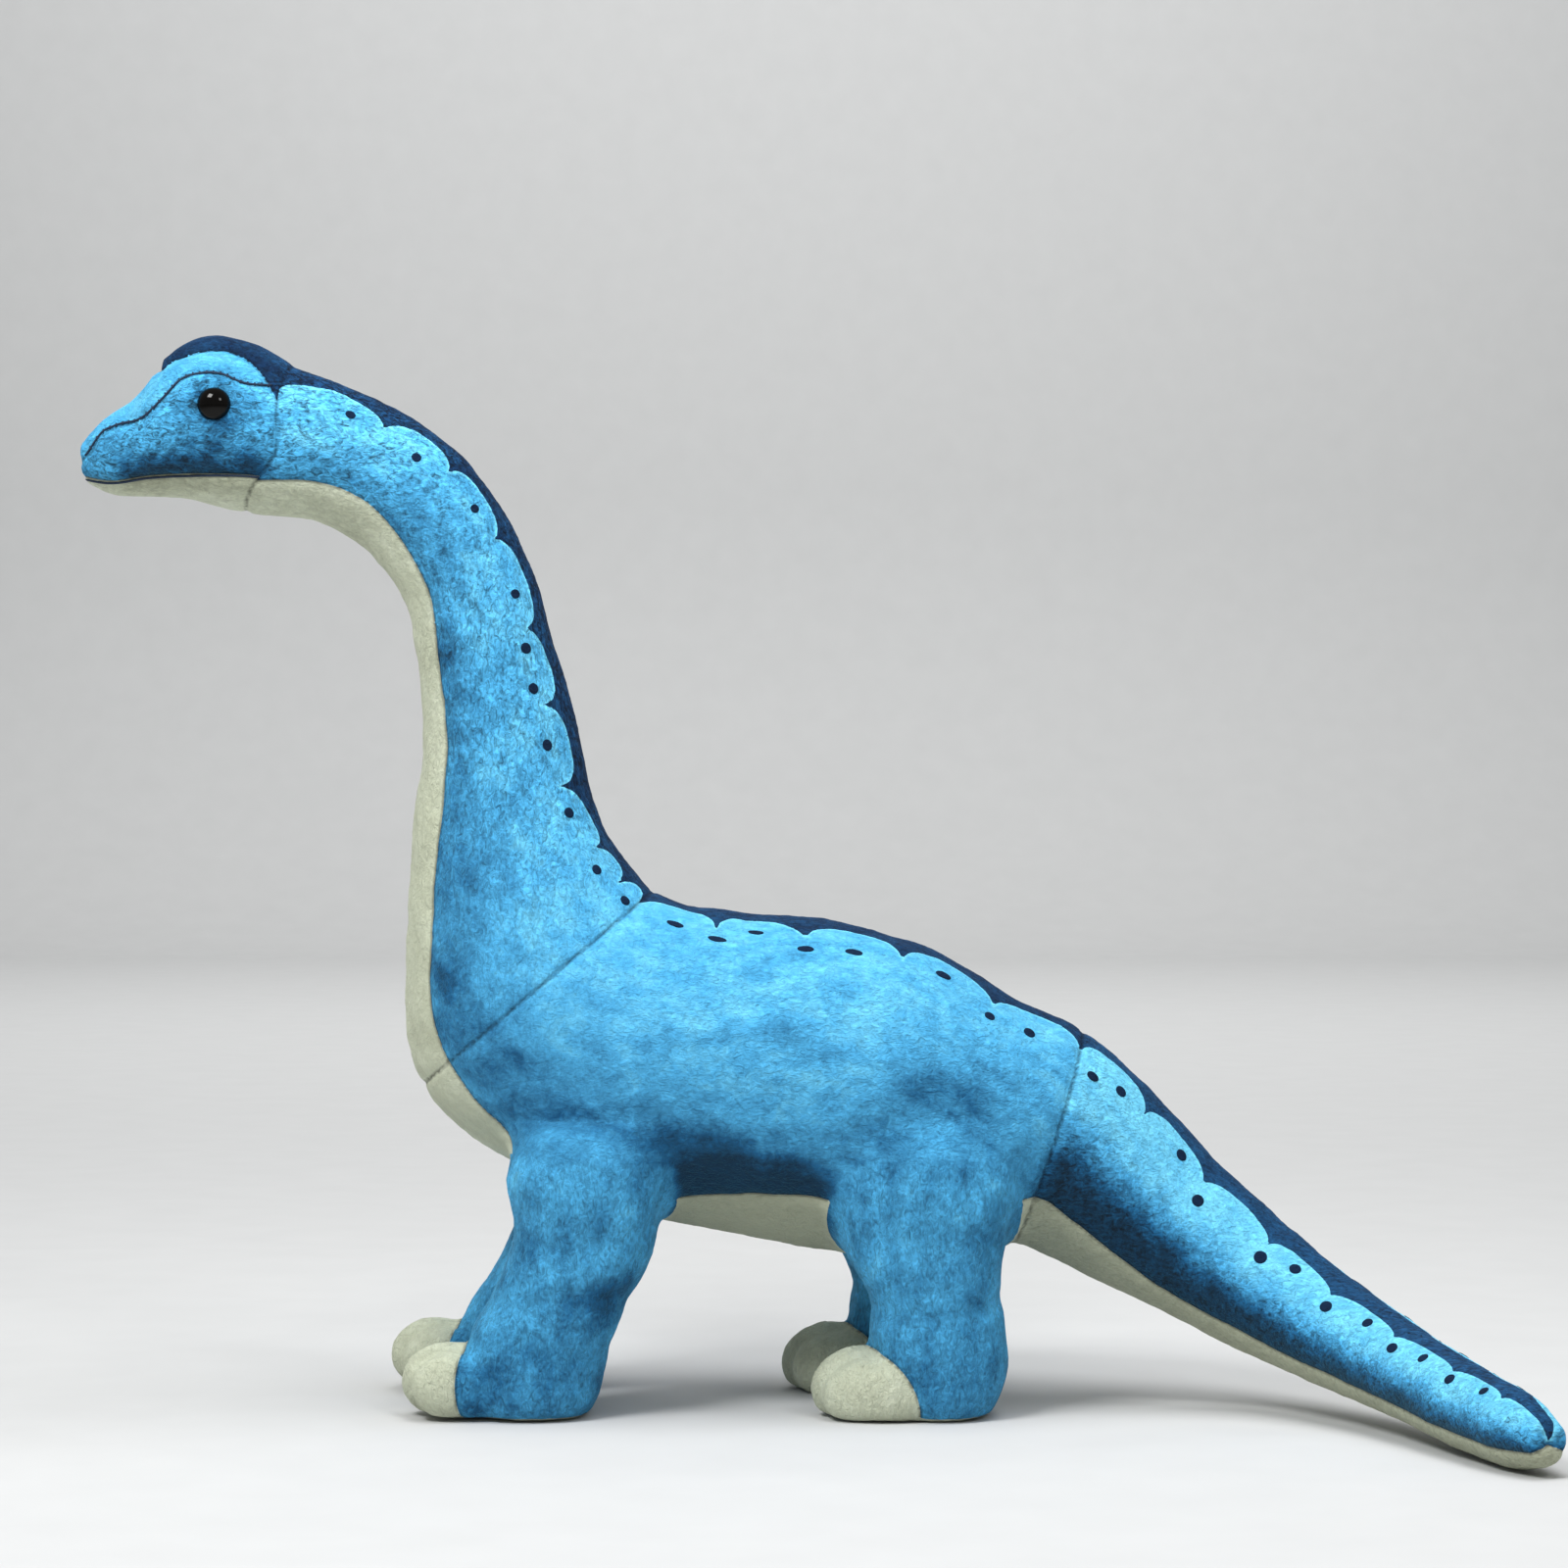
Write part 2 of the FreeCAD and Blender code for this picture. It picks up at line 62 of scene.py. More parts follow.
mm = 0.001
middle_x = 0.95
middle_y = 55.57
body_sections = np.array((
    # middle x, y, z, tilt and turn in degrees, half width, half depth
    (-253.0, 0, 338.0, -4, 0, 6.4, 6.6),          # snout tip
    (-243.0, 0, 340.6, -3, 0, 13.8, 14),
    (-232.5, 0, 343.8, -2, 0, 17.8, 18),          # muzzle
    (-224.0, 0, 349.4, 0, 0, 23, 23.6),
    (-211.3, 0, 353.6, 4, 0, 26, 28.8),           # crown
    (-198.0, 0, 351.2, 9, 0, 26, 29.7),
    (-185.0, 0, 346.5, 17.6, 0, 24.5, 28),        # head seam
    (-159.7, 0, 340.1, 23, 0, 23.3, 24.8),
    (-125.0, 0, 314.3, 39, 0, 23, 24.7),          # bend of the neck
    (-115.8, 0, 298.5, 56, 0, 22.8, 23.5),
    (-108.4, 0, 274.1, 83, 0, 23.5, 24.5),
    (-102.2, 0, 241.8, 88, 0, 26, 27.7),
    (-99.9, 0, 211.8, 90, 0, 30, 32.8),
    (-96.5, 0, 181.8, 70.6, 0, 37, 41.4),
    (-88.6, 0, 149.3, 50, 0, 44, 54.4),           # neck seam
    (-61.2, 0, 130.1, 29.9, 0, 50, 55.6),
    (-15.5, 0, 118.3, 1.4, 0, 52, 57.6),
    (16.9, 0, 113.7, 0.7, 0, 53, 59.3),           # waist
    (46.8, 0, 106.8, 6.2, 0, 51, 57),
    (74.8, 0, 98.0, 12, 0, 45, 47.5),
    (95.0, 0, 95.0, 18.3, 0, 37, 40.5),           # tail seam
    (114.5, -0.5, 81.5, 33.3, -4, 31.5, 35.1),
    (138.0, -4, 63.2, 36.6, -14, 27, 29),
    (163.0, -14, 46.8, 34, -30, 23, 24.9),
    (184.0, -31, 34.6, 26, -44, 19.5, 21),
    (203.0, -57, 25.5, 17, -58, 16.5, 17.5),
    (218.0, -90, 19.0, 9, -67, 14.5, 15.2),
    (230.0, -124, 15.0, 4, -70, 13.3, 13.8),
    (240.0, -153, 12.6, 2, -70, 11, 11.5),
    (245.5, -168, 11.2, 0, -70, 6.5, 6.5),        # tail tip
), float)
body_sections[:, 0] += middle_x
body_sections[:, 1] += middle_y


def run_smooth(knots, values, at):
    """Values at places along a run, on a smooth curve through the knots."""
    knots, values, at = (np.asarray(item, float) for item in (knots, values, at))
    step = np.diff(knots)
    slope = (np.diff(values, axis=0).T / step).T
    between = (slope[:-1].T * step[1:] + slope[1:].T * step[:-1]) / (step[:-1] + step[1:])
    slope = np.concatenate([slope[:1], between.T, slope[-1:]])
    i = np.clip(np.searchsorted(knots, at) - 1, 0, len(knots) - 2)
    t = np.clip((at - knots[i]) / step[i], 0, 1)
    parts = (
        (1 + 2 * t) * (1 - t) ** 2 * values[i].T
        + t * t * (3 - 2 * t) * values[i + 1].T
        + slope[i].T * step[i] * t * (1 - t) ** 2
        - slope[i + 1].T * step[i] * t * t * (1 - t)
    )
    return parts.T


gaps = np.linalg.norm(np.diff(body_sections[:, :3], axis=0), axis=1)
section_place = np.concatenate([[0], np.cumsum(gaps)])
head_end = section_place[6]
neck_end = section_place[14]
torso_end = section_place[20]
tail_end = section_place[-1]


class Run:
    """The body's middle line and section directions at places along it."""

    def __init__(self, along):
        rows = run_smooth(section_place, body_sections, along)
        tilt, turn = np.radians(rows[:, 3]), np.radians(rows[:, 4])
        self.along = along
        self.middle = rows[:, :3]
        self.wide, self.deep = rows[:, 5], rows[:, 6]
        self.up = np.stack(
            [np.sin(tilt) * np.cos(turn), np.sin(tilt) * np.sin(turn), np.cos(tilt)], 1
        )
        self.side = np.stack([-np.sin(turn), np.cos(turn), 0 * turn], 1)
        self.onward = np.cross(self.side, self.up)

    def points(self, angles, inset=0.0):
        """A grid of points round each section, at angles from the back."""
        deep = np.maximum(self.deep - inset, 1)[:, None, None]
        wide = np.maximum(self.wide - inset, 1)[:, None, None]
        return (
            self.middle[:, None]
            + self.up[:, None] * deep * np.cos(angles)[None, :, None]
            + self.side[:, None] * wide * np.sin(angles)[None, :, None]
        )


def tube_mesh(rings):
    """Points and faces of a closed form through rings of points."""
    count, around = rings.shape[:2]
    points = [tuple(p) for p in rings.reshape(-1, 3)]
    faces = []
    for row in range(count - 1):
        for k in range(around):
            after = (k + 1) % around
            low, high = row * around, (row + 1) * around
            faces.append((low + k, low + after, high + after, high + k))
    for row, order in ((0, -1), (count - 1, 1)):
        centre = len(points)
        points.append(tuple(rings[row].mean(0)))
        for k in range(around):
            pair = (row * around + k, row * around + (k + 1) % around)
            faces.append((centre,) + pair[::order])
    return points, faces


leg_levels = {
    # height, middle x, half length, half width
    "fore": (
        (102, -66, 26, 20), (84, -69, 29, 24), (71, -69, 26, 24), (57, -71.6, 25.4, 23),
        (43, -78, 24.8, 22), (29, -85.2, 25.8, 22), (15.5, -89, 25.4, 22), (4, -90, 23, 20.5),
        (0.5, -90.4, 21, 18),
    ),
    "hind": (
        (102, 48, 28, 20), (84, 49.5, 33, 25), (71, 49.5, 31.4, 25), (57, 49.2, 27.8, 24),
        (43, 53.3, 23.6, 22.5), (29, 54.2, 24.2, 22.5), (15.5, 53.6, 25, 22), (4, 52, 22.5, 20.5),
        (0.5, 52, 21, 18),
    ),
}
leg_out = 33.0
right_step = 10.0
hip_height = 90.0
side_sign = {"left": -1, "right": 1}
leg_names = [(pair, side) for pair in ("fore", "hind") for side in ("left", "right")]


def leg_rings(pair, side, inset=0.0, top=102.0):
    """Rings of points down a leg; the right legs lean forward to the foot."""
    rows = np.array(leg_levels[pair], float)[::-1]
    heights = np.linspace(top, 0.5 + inset, 64)
    x, half_long, half_wide = run_smooth(rows[:, 0], rows[:, 1:], heights).T
    step = right_step * np.clip(1 - heights / hip_height, 0, 1) if side == "right" else 0
    angles = np.linspace(0, 2 * math.pi, 56, endpoint=False)
    cosine, sine = np.cos(angles), np.sin(angles)
    squareness = 0.86
    round_x = np.sign(cosine) * np.abs(cosine) ** squareness
    round_y = np.sign(sine) * np.abs(sine) ** squareness
    rings = np.zeros((len(heights), len(angles), 3))
    rings[..., 0] = (x - step + middle_x)[:, None] + (half_long - inset)[:, None] * round_x
    rings[..., 1] = side_sign[side] * leg_out + middle_y
    rings[..., 1] += (half_wide - inset)[:, None] * round_y
    rings[..., 2] = heights[:, None]
    return rings


def new_object(name, points, faces):
    """A mesh object from points in metres and faces, placed in the scene."""
    mesh = bpy.data.meshes.new(name)
    mesh.from_pydata(points, [], faces)
    mesh.update()
    made = bpy.data.objects.new(name, mesh)
    bpy.context.scene.collection.objects.link(made)
    return made


def srgb(code):
    """A hex colour as linear red, green, blue and full alpha."""
    parts = [int(code[i:i + 2], 16) / 255 for i in (1, 3, 5)]
    linear = [c / 12.92 if c <= 0.04045 else ((c + 0.055) / 1.055) ** 2.4 for c in parts]
    return (*linear, 1.0)


def add_node(tree, kind, settings=None, **links):
    """One shader node with its settings; each link names an input and gives its source."""
    made = tree.nodes.new(kind)
    for key, value in (settings or {}).items():
        if isinstance(key, str) and key not in made.inputs:
            setattr(made, key, value)
        else:
            made.inputs[key].default_value = value
    for key, source in links.items():
        target = made.inputs[int(key[1:]) if key[1:].isdigit() else key.replace("_", " ")]
        tree.links.new(source, target)
    return made


def new_material(name):
    """An empty node material and its surface shader."""
    material = bpy.data.materials.new(name)
    material.use_nodes = True
    tree = material.node_tree
    return material, tree, tree.nodes["Principled BSDF"]


# Carded polyester fibre: matt white wads with crossing hairs, so it looks cloudy and soft.
fibre, tree, shader = new_material("carded_polyester_fibre")
place = add_node(tree, "ShaderNodeTexCoord").outputs["Object"]
wads = add_node(tree, "ShaderNodeTexNoise", {"Scale": 60.0, "Detail": 4.0}, Vector=place)
hairs = add_node(tree, "ShaderNodeTexNoise", {"Scale": 900.0, "Detail": 6.0, "Distortion": 2.0},
                 Vector=place)
tint = add_node(tree, "ShaderNodeMix", {"data_type": "RGBA"}, Factor=wads.outputs["Fac"])
tint.inputs[6].default_value = srgb("#d9dad6")
tint.inputs[7].default_value = srgb("#f4f4f0")
tree.links.new(tint.outputs[2], shader.inputs["Base Color"])
relief = add_node(tree, "ShaderNodeBump", {"Strength": 0.6, "Distance": 0.001},
                  Height=hairs.outputs["Fac"])
tree.links.new(relief.outputs["Normal"], shader.inputs["Normal"])
shader.inputs["Roughness"].default_value = 0.95
shader.inputs["Sheen Weight"].default_value = 0.3

# Where each flexing seam starts to bend and where the bend is over, in metres.
seam_rows = Run(np.array([head_end, neck_end, torso_end]))
head_seam, neck_seam, tail_seam = seam_rows.middle
head_dir, neck_dir, tail_dir = seam_rows.onward
bends = {
    "neck": ("torso", "neck", neck_seam * mm, (neck_seam - 85 * neck_dir) * mm),
    "head": ("neck", "head", head_seam * mm, (head_seam - 16 * head_dir) * mm),
    "tail": ("torso", "tail", tail_seam * mm, (tail_seam + 60 * tail_dir) * mm),
}
leg_tilt = 0.4
leg_bend = 30.0
for pair, side in leg_names:
    sign = side_sign[side]
    down = np.array([0, sign * leg_tilt, -1.0]) / math.hypot(leg_tilt, 1)
    start = np.array([0, middle_y + sign * 10, 57.0])
    bends[f"{pair}_{side}_leg"] = (
        "torso", f"{pair}_{side}_leg", start * mm, (start + leg_bend * down) * mm
    )


def settle(piece, body, stands_for=()):
    """Attaches a piece to its body, or for a body listed in bends bakes its place into its mesh,
    and hides the parts it stands for.
    """
    if body in bends:
        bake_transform(piece)
    else:
        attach(piece, body)
    if stands_for:
        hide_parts(*stands_for)


lump_size = 14
lump_height = 0.0006


def make_filling(name, rings, body):
    """One wad of fibre inside a cover, slightly lumpy, settled with its body."""
    points, faces = tube_mesh(rings)
    swollen = []
    for point in points:
        p = Vector(point) / lump_size
        swollen.append(tuple(
            c * mm + lump_height * noise.noise(p * (1 + k)) for k, c in enumerate(point)
        ))
    piece = new_object(name, swollen, faces)
    piece.data.polygons.foreach_set("use_smooth", [True] * len(faces))
    piece.data.materials.append(fibre)
    settle(piece, body, (name.replace("_fill", "_stuffing"),))


fill_inset = 4.5
round_angles = np.linspace(0, 2 * math.pi, 64, endpoint=False)
fill_ranges = {
    "head": (8, head_end - 1), "neck": (head_end + 1, neck_end - 1),
    "torso": (neck_end + 1, torso_end - 1), "tail": (torso_end + 1, tail_end - 10),
}
for body, (first, last) in fill_ranges.items():
    rings = Run(np.linspace(first, last, int((last - first) / 3))).points(round_angles, fill_inset)
    make_filling(f"{body}_fill", rings, body)
for pair, side in leg_names:
    rings = leg_rings(pair, side, inset=fill_inset, top=52.0)
    make_filling(f"{pair}_{side}_leg_fill", rings, f"{pair}_{side}_leg")

# ---------------------------------------------------------------- the stuffed skin
# The plush cover pulled tight over the filling: body run, legs and toe lobes grown into one
# closed skin, eased where the legs join, with hand-stuffed unevenness and soft folds. The
# panels of the next section are cut out of this skin along their seams.

grain = 1.7


def toe_lobe(x, y, z, half_long, half_wide, half_high):
    """A rounded toe: a flattened ball that rests on the floor."""
    rise = np.linspace(0.04, math.pi - 0.04, 28)
    ring = np.linspace(0, 2 * math.pi, 36, endpoint=False)
    rings = np.zeros((len(rise), len(ring), 3))
    rings[..., 0] = x + half_long * np.sin(rise)[:, None] * np.cos(ring)
    rings[..., 1] = y + half_wide * np.sin(rise)[:, None] * np.sin(ring)
    rings[..., 2] = np.maximum(z - half_high * np.cos(rise)[:, None], 0.4)
    return rings


forms = [Run(np.arange(0.0, tail_end, 2.5)).points(round_angles)]
toe_plan = {
    # x, y out from the leg's middle, z, half length, half width, half height
    "fore": ((-117.5, 0, 12.5, 17.5, 10, 14), (-114, -12, 11.5, 16.5, 9, 12.5),
             (-114, 12, 11.5, 16.5, 9, 12.5)),
    "hind": ((31, 0, 9.5, 22, 13, 16), (34, -11.5, 8.5, 21, 10.5, 14),
             (34, 11.5, 8.5, 21, 10.5, 14)),
}
for pair, side in leg_names:
    forms.append(leg_rings(pair, side))
    step = right_step if side == "right" else 0
    for x, y, z, half_long, half_wide, half_high in toe_plan[pair]:
        lobe_y = middle_y + side_sign[side] * leg_out + y
        forms.append(toe_lobe(x - step + middle_x, lobe_y, z, half_long, half_wide, half_high))

all_points, all_faces = [], []
for rings in forms:
    points, faces = tube_mesh(rings)
    base = len(all_points)
    all_points += points
    all_faces += [tuple(base + i for i in face) for face in faces]
rough = new_object("rough_skin", all_points, all_faces)
bpy.context.view_layer.objects.active = rough
one_skin = rough.modifiers.new("one_skin", "REMESH")
one_skin.mode = "VOXEL"
one_skin.voxel_size = grain
solid = bpy.data.meshes.new_from_object(
    rough.evaluated_get(bpy.context.evaluated_depsgraph_get())
)
bpy.data.objects.remove(rough)

skin = np.zeros(len(solid.vertices) * 3)
solid.vertices.foreach_get("co", skin)
skin = skin.reshape(-1, 3)
solid.calc_loop_triangles()
triangles = np.zeros(len(solid.loop_triangles) * 3, int)
solid.loop_triangles.foreach_get("vertices", triangles)
triangles = triangles.reshape(-1, 3)
links = np.zeros(len(solid.edges) * 2, int)
solid.edges.foreach_get("vertices", links)
links = links.reshape(-1, 2)
neighbours = np.bincount(links.ravel(), minlength=len(skin))


def neighbour_mean(values):
    """The average of each point's neighbours on the skin."""
    out = np.zeros_like(values)
    for k in range(values.shape[1]):
        out[:, k] = np.bincount(links[:, 0], values[links[:, 1], k], len(values))
        out[:, k] += np.bincount(links[:, 1], values[links[:, 0], k], len(values))
    return out / np.maximum(neighbours, 1)[:, None]


def ease(points, weight, rounds):
    """Pulls points towards their neighbours, as far as weight says."""
    for _ in range(rounds):
        points = points + weight[:, None] * (neighbour_mean(points) - points)
    return points


def place_on_run(points):
    """Where points lie on the body: along it, angle from the back, share of the radius, side."""
    track = Run(np.arange(0.0, tail_end, 1.5))
    out = np.zeros((len(points), 4))
    for low in range(0, len(points), 6000):
        part = points[low:low + 6000]
        away = part[:, None] - track.middle[None]
        past = (away * track.onward[None]).sum(2)
        near = np.abs(past) + 0.08 * np.linalg.norm(away, axis=2)
        k = np.clip(near.argmin(1), 1, len(track.along) - 2)
        rows = np.arange(len(part))
        before, here, after = past[rows, k - 1], past[rows, k], past[rows, k + 1]
        forward = here > 0
        share = np.where(forward, here / np.maximum(here - after, 0.3),
                         here / np.maximum(before - here, 0.3))
        along = track.along[k] + 1.5 * np.clip(share, -1, 1)
        exact = Run(along)
        away = part - exact.middle
        high = (away * exact.up).sum(1) / exact.deep
        wide = (away * exact.side).sum(1) / exact.wide
        out[low:low + 6000] = np.stack(
            [along, np.arctan2(np.abs(wide), high), np.hypot(high, wide), wide], 1
        )
    return out


def leg_reach(points, pair, side):
    """How far points stand outside a leg column, in millimetres."""
    rows = np.array(leg_levels[pair], float)[::-1]
    x, half_long, half_wide = run_smooth(rows[:, 0], rows[:, 1:], points[:, 2]).T
    drop = np.clip(1 - points[:, 2] / hip_height, 0, 1)
    step = right_step * drop if side == "right" else 0
    off_x = (points[:, 0] - (x - step + middle_x)) / half_long
    off_y = (points[:, 1] - (side_sign[side] * leg_out + middle_y)) / half_wide
    return (np.hypot(off_x, off_y) - 1) * half_wide


skin = ease(skin, np.full(len(skin), 0.5), 4)
at = place_on_run(skin)
radius = np.sqrt(Run(at[:, 0]).wide * Run(at[:, 0]).deep)
off_body = (at[:, 2] - 1) * radius
join = np.zeros(len(skin))
for pair, side in leg_names:
    off_leg = leg_reach(skin, pair, side)
    close = np.exp(-(off_leg ** 2 + off_body ** 2) / 12.0 ** 2)
    join = np.maximum(join, np.where((skin[:, 2] > 44) & (skin[:, 2] < 104), close, 0))
skin = ease(skin, 0.7 * join, 60)


def outward(points, faces):
    """Unit normals at the points of a triangle mesh."""
    edge_a = points[faces[:, 1]] - points[faces[:, 0]]
    edge_b = points[faces[:, 2]] - points[faces[:, 0]]
    flat = np.cross(edge_a, edge_b)
    total = np.zeros_like(points)
    for corner in range(3):
        for k in range(3):
            total[:, k] += np.bincount(faces[:, corner], flat[:, k], len(points))
    return total / np.maximum(np.linalg.norm(total, axis=1), 1e-12)[:, None]


def bumps(points, size):
    """Smooth random relief of about that size in millimetres, from -1 to 1."""
    return np.array([noise.noise(Vector(p) / size) for p in points])


facing = outward(skin, triangles)
unevenness = 0.9 * bumps(skin + 31, 26) + 0.45 * bumps(skin, 11) + 0.16 * bumps(skin - 17, 4.5)
unevenness = unevenness + 0.2 * bumps(skin + 5, 2.3)
firm = np.where(at[:, 0] < head_end, 0.45, 1) * np.where(skin[:, 2] < 55, 0.7, 1)
skin = skin + facing * (unevenness * firm)[:, None]

folds = (
    # pair, height, how deep, how wide, angle round the leg where it is deepest
    ("fore", 41, 1.2, 3.6, -70), ("fore", 64, 0.9, 4.5, -110), ("fore", 25, 0.6, 3.0, -20),
    ("hind", 39, 1.5, 3.8, -80), ("hind", 64, 0.8, 5.0, -60), ("hind", 28, 0.7, 3.0, -150),
)
for pair, side in leg_names:
    rows = np.array(leg_levels[pair], float)[::-1]
    middle = run_smooth(rows[:, 0], rows[:, 1:2], skin[:, 2])[:, 0] + middle_x
    off_y = (skin[:, 1] - middle_y) * side_sign[side] - leg_out
    around = np.arctan2(-off_y, skin[:, 0] - middle)
    inside = (leg_reach(skin, pair, side) < 6) & (skin[:, 2] < 80)
    for kind, height, depth, width, angle in folds:
        if kind != pair:
            continue
        wave = height + 3.0 * np.sin(around * 1.5 + height)
        turned = np.cos((around - math.radians(angle)) / 2) ** 2
        pull = depth * turned * np.exp(-((skin[:, 2] - wave) / width) ** 2)
        skin = skin - facing * (pull * inside)[:, None]
skin[:, 2] = np.maximum(skin[:, 2], 0.3)

# ---------------------------------------------------------------- plush covers
# Short-pile polyester plush, printed light blue with scallops under a navy back, and cream
# below. Each panel is cut from the skin along its seams, has the cloth's own thickness, and
# rolls inwards along its sewn edges. The scallops are printed, so they have no groove.

cloth_thick = 1.3
scallop_ends = (
    head_end, 110, 135, 158, 184, 210, 238, 266, 291, neck_end,
    376, 416, 447, 477, torso_end, 529, 561, 598, 636, 678, 720, 752, tail_end + 4,
)
edge_places = (0, 73, 110, 158, 184, 238, 270, 313, 376, 447, 507, 530, 600, 678, 775)
cusp_angles = (54, 54, 52, 47, 49, 48, 36, 30, 28, 30, 32, 39, 37, 33, 33)
crown_angles = (38, 36, 33, 27, 27, 26, 20, 14, 13, 15, 17, 20, 20, 18, 18)
cream_places = (0, 12, 30, 58, 78, 104, 116, 130, 144, 174, 200, 224, 250, 276, 290, 315,
                330, 344, 360, 376, 396, 417, 504, 532, 572, 616, 680, 775)
cream_angles = (144, 142, 142, 135, 125, 117, 115, 119, 123, 128, 134, 131, 132, 136, 139, 137,
                141, 147, 150, 142, 133, 129, 119, 120, 124, 120, 117, 114)
crest_line = (
    # x and height of the crest's lower edge
    (-226.5, 376), (-224.9, 372.4), (-219, 374), (-213.9, 375.6), (-207, 377.5), (-197, 377),
    (-188.9, 372.4), (-183.6, 366), (-180, 359.4), (-174, 352),
)
brow_line = (
    (-256, 336), (-249, 341.7), (-244.3, 348), (-239, 350.5), (-227.3, 353.4), (-220.6, 359.4),
    (-214.6, 365.7), (-207.2, 368.2), (-200.5, 368.2), (-191.7, 364.8), (-182, 364.3),
    (-174, 364),
)
mouth_line = (
    (-257, 334), (-252, 332.2), (-242.2, 330.2), (-227.3, 331.6), (-205, 332.2), (-188, 331.6),
    (-180, 330.6), (-172, 329.6),
)


def line_height(line, x):
    """The height of a seam line on the head at x."""
    rows = np.array(line, float)
    return run_smooth(rows[:, 0] + middle_x, rows[:, 1:2], x)[:, 0]


def scallop_angle(along):
    """The printed edge's angle from the back: low in the cusps, high in the scallops."""
    ends = np.array(scallop_ends)
    i = np.clip(np.searchsorted(ends, along) - 1, 0, len(ends) - 2)
    t = np.clip((along - ends[i]) / (ends[i + 1] - ends[i]), 0, 1)
    arch = np.clip(1 - np.abs(2 * t - 1) ** 2.4, 0, 1) ** 0.5
    low = np.interp(along, edge_places, cusp_angles)
    high = np.interp(along, edge_places, crown_angles)
    return np.radians(low + (high - low) * arch)


at = place_on_run(skin)
along, angle, share, wide = at.T
here = Run(along)
radius = np.sqrt(here.wide * here.deep)
off_body = (share - 1) * radius
x, y, z = skin.T
out_y = np.abs(y - middle_y)
fields = {
    "head": along - head_end - 6.5 * np.exp(-((angle - 1.75) / 0.5) ** 2),
    "neck": along - neck_end,
    "tail": along - torso_end,
    "back": (angle - scallop_angle(along)) * radius,
    "cream": (np.radians(np.interp(along, cream_places, cream_angles)) - angle) * radius,
    "crest": line_height(crest_line, x) - z,
    "crest_front": -225.2 + middle_x - x,
    "brow": line_height(brow_line, x) - z,
    "mouth": z - line_height(mouth_line, x),
    "side": y - middle_y,
    "sole": z - 1.0,
}
for pair in ("fore", "hind"):
    rows = np.array(leg_levels[pair], float)[::-1]
    middle_half = run_smooth(rows[:, 0], rows[:, 1:3], np.minimum(z, 74))
    for side in ("left", "right"):
        sign = side_sign[side]
        drop = np.clip(1 - z / hip_height, 0, 1)
        step = right_step * drop if side == "right" else 0 * drop
        leg_x = x - (middle_half[:, 0] - step + middle_x)
        beyond = np.abs(leg_x) - middle_half[:, 1] - 3 - 1.5 * np.maximum(50 - z, 0)
        below = np.maximum.reduce([
            z - (57 + leg_tilt * (out_y - 10)), beyond, 30 - sign * (y - middle_y),
        ])
        own_side = 3 - sign * (y - middle_y)
        stands_out = np.maximum.reduce([
            2.0 - off_body, z - 92, leg_reach(skin, pair, side) - 18, own_side,
        ])
        leg_field = np.clip(np.minimum(below, stands_out), -9, 9)
        leg_field = ease(leg_field[:, None], np.full(len(skin), 0.8), 25)[:, 0]
        fields[f"{pair}_{side}"] = leg_field
        toe_x = x + step - middle_x
        if pair == "fore":
            curve = toe_x + 112 + 2.5 * np.cos((z - 13) / 9)
            toe = np.maximum(curve, z - 27.5)
        else:
            toe = np.hypot(toe_x - 22, z - 1) - 25.5
        fields[f"{pair}_{side}_toe"] = toe
names = list(fields)
values = np.stack([fields[name] for name in names], 1)
neighbour_values = values[links[:, 0]] - values[links[:, 1]]
length = np.linalg.norm(skin[links[:, 0]] - skin[links[:, 1]], axis=1)
steep = np.zeros_like(values)
for k in range(len(names)):
    squared = (neighbour_values[:, k] / np.maximum(length, 0.3)) ** 2
    total = np.bincount(links[:, 0], squared, len(skin))
    total = total + np.bincount(links[:, 1], squared, len(skin))
    steep[:, k] = np.sqrt(2 * total / np.maximum(neighbours, 1))
steep = ease(steep, np.full(len(skin), 0.6), 3)
near = values / np.clip(steep, 0.35, 4)
near = dict(zip(names, near.T))

is_head = fields["head"] < 0
is_leg = np.minimum.reduce([fields[f"{pair}_{side}"] for pair, side in leg_names]) < 0
on_body = ~is_leg


def gap_to(name, where):
    """Distance from a seam in millimetres, far away where the seam isn't sewn."""
    return np.where(where, np.abs(near[name]), 99.0)


face_part = is_head & (x < -175)
behind_crest = x > -225.5
seams = {
    "head": gap_to("head", on_body & (np.abs(fields["head"]) < 30) & (z > 250)),
    "neck": gap_to("neck", on_body & (np.abs(fields["neck"]) < 40)),
    "tail": gap_to("tail", on_body & (np.abs(fields["tail"]) < 40)),
    "cream": gap_to("cream", on_body & ~is_head),
    "mouth": gap_to("mouth", face_part),
    "brow": gap_to("brow", face_part & ((fields["crest"] > 0) | ~behind_crest)),
    "crest": gap_to("crest", face_part & behind_crest),
    "snout": gap_to("side", is_head & ~behind_crest & (fields["brow"] < 0)),
}
for pair, side in leg_names:
    inside = fields[f"{pair}_{side}"] < 0
    seams[f"{pair}_{side}_toe"] = gap_to(f"{pair}_{side}_toe", inside & (z > 1))
    seams[f"{pair}_{side}_sole"] = gap_to("sole", inside & (z < 8))
seam_depth = {"head": 1.1, "neck": 1.1, "tail": 1.1, "cream": 0.9, "mouth": 1.3, "brow": 1.1,
              "crest": 1.3, "snout": 0.3}
pull = np.zeros(len(skin))
seam_gap = np.full(len(skin), 99.0)
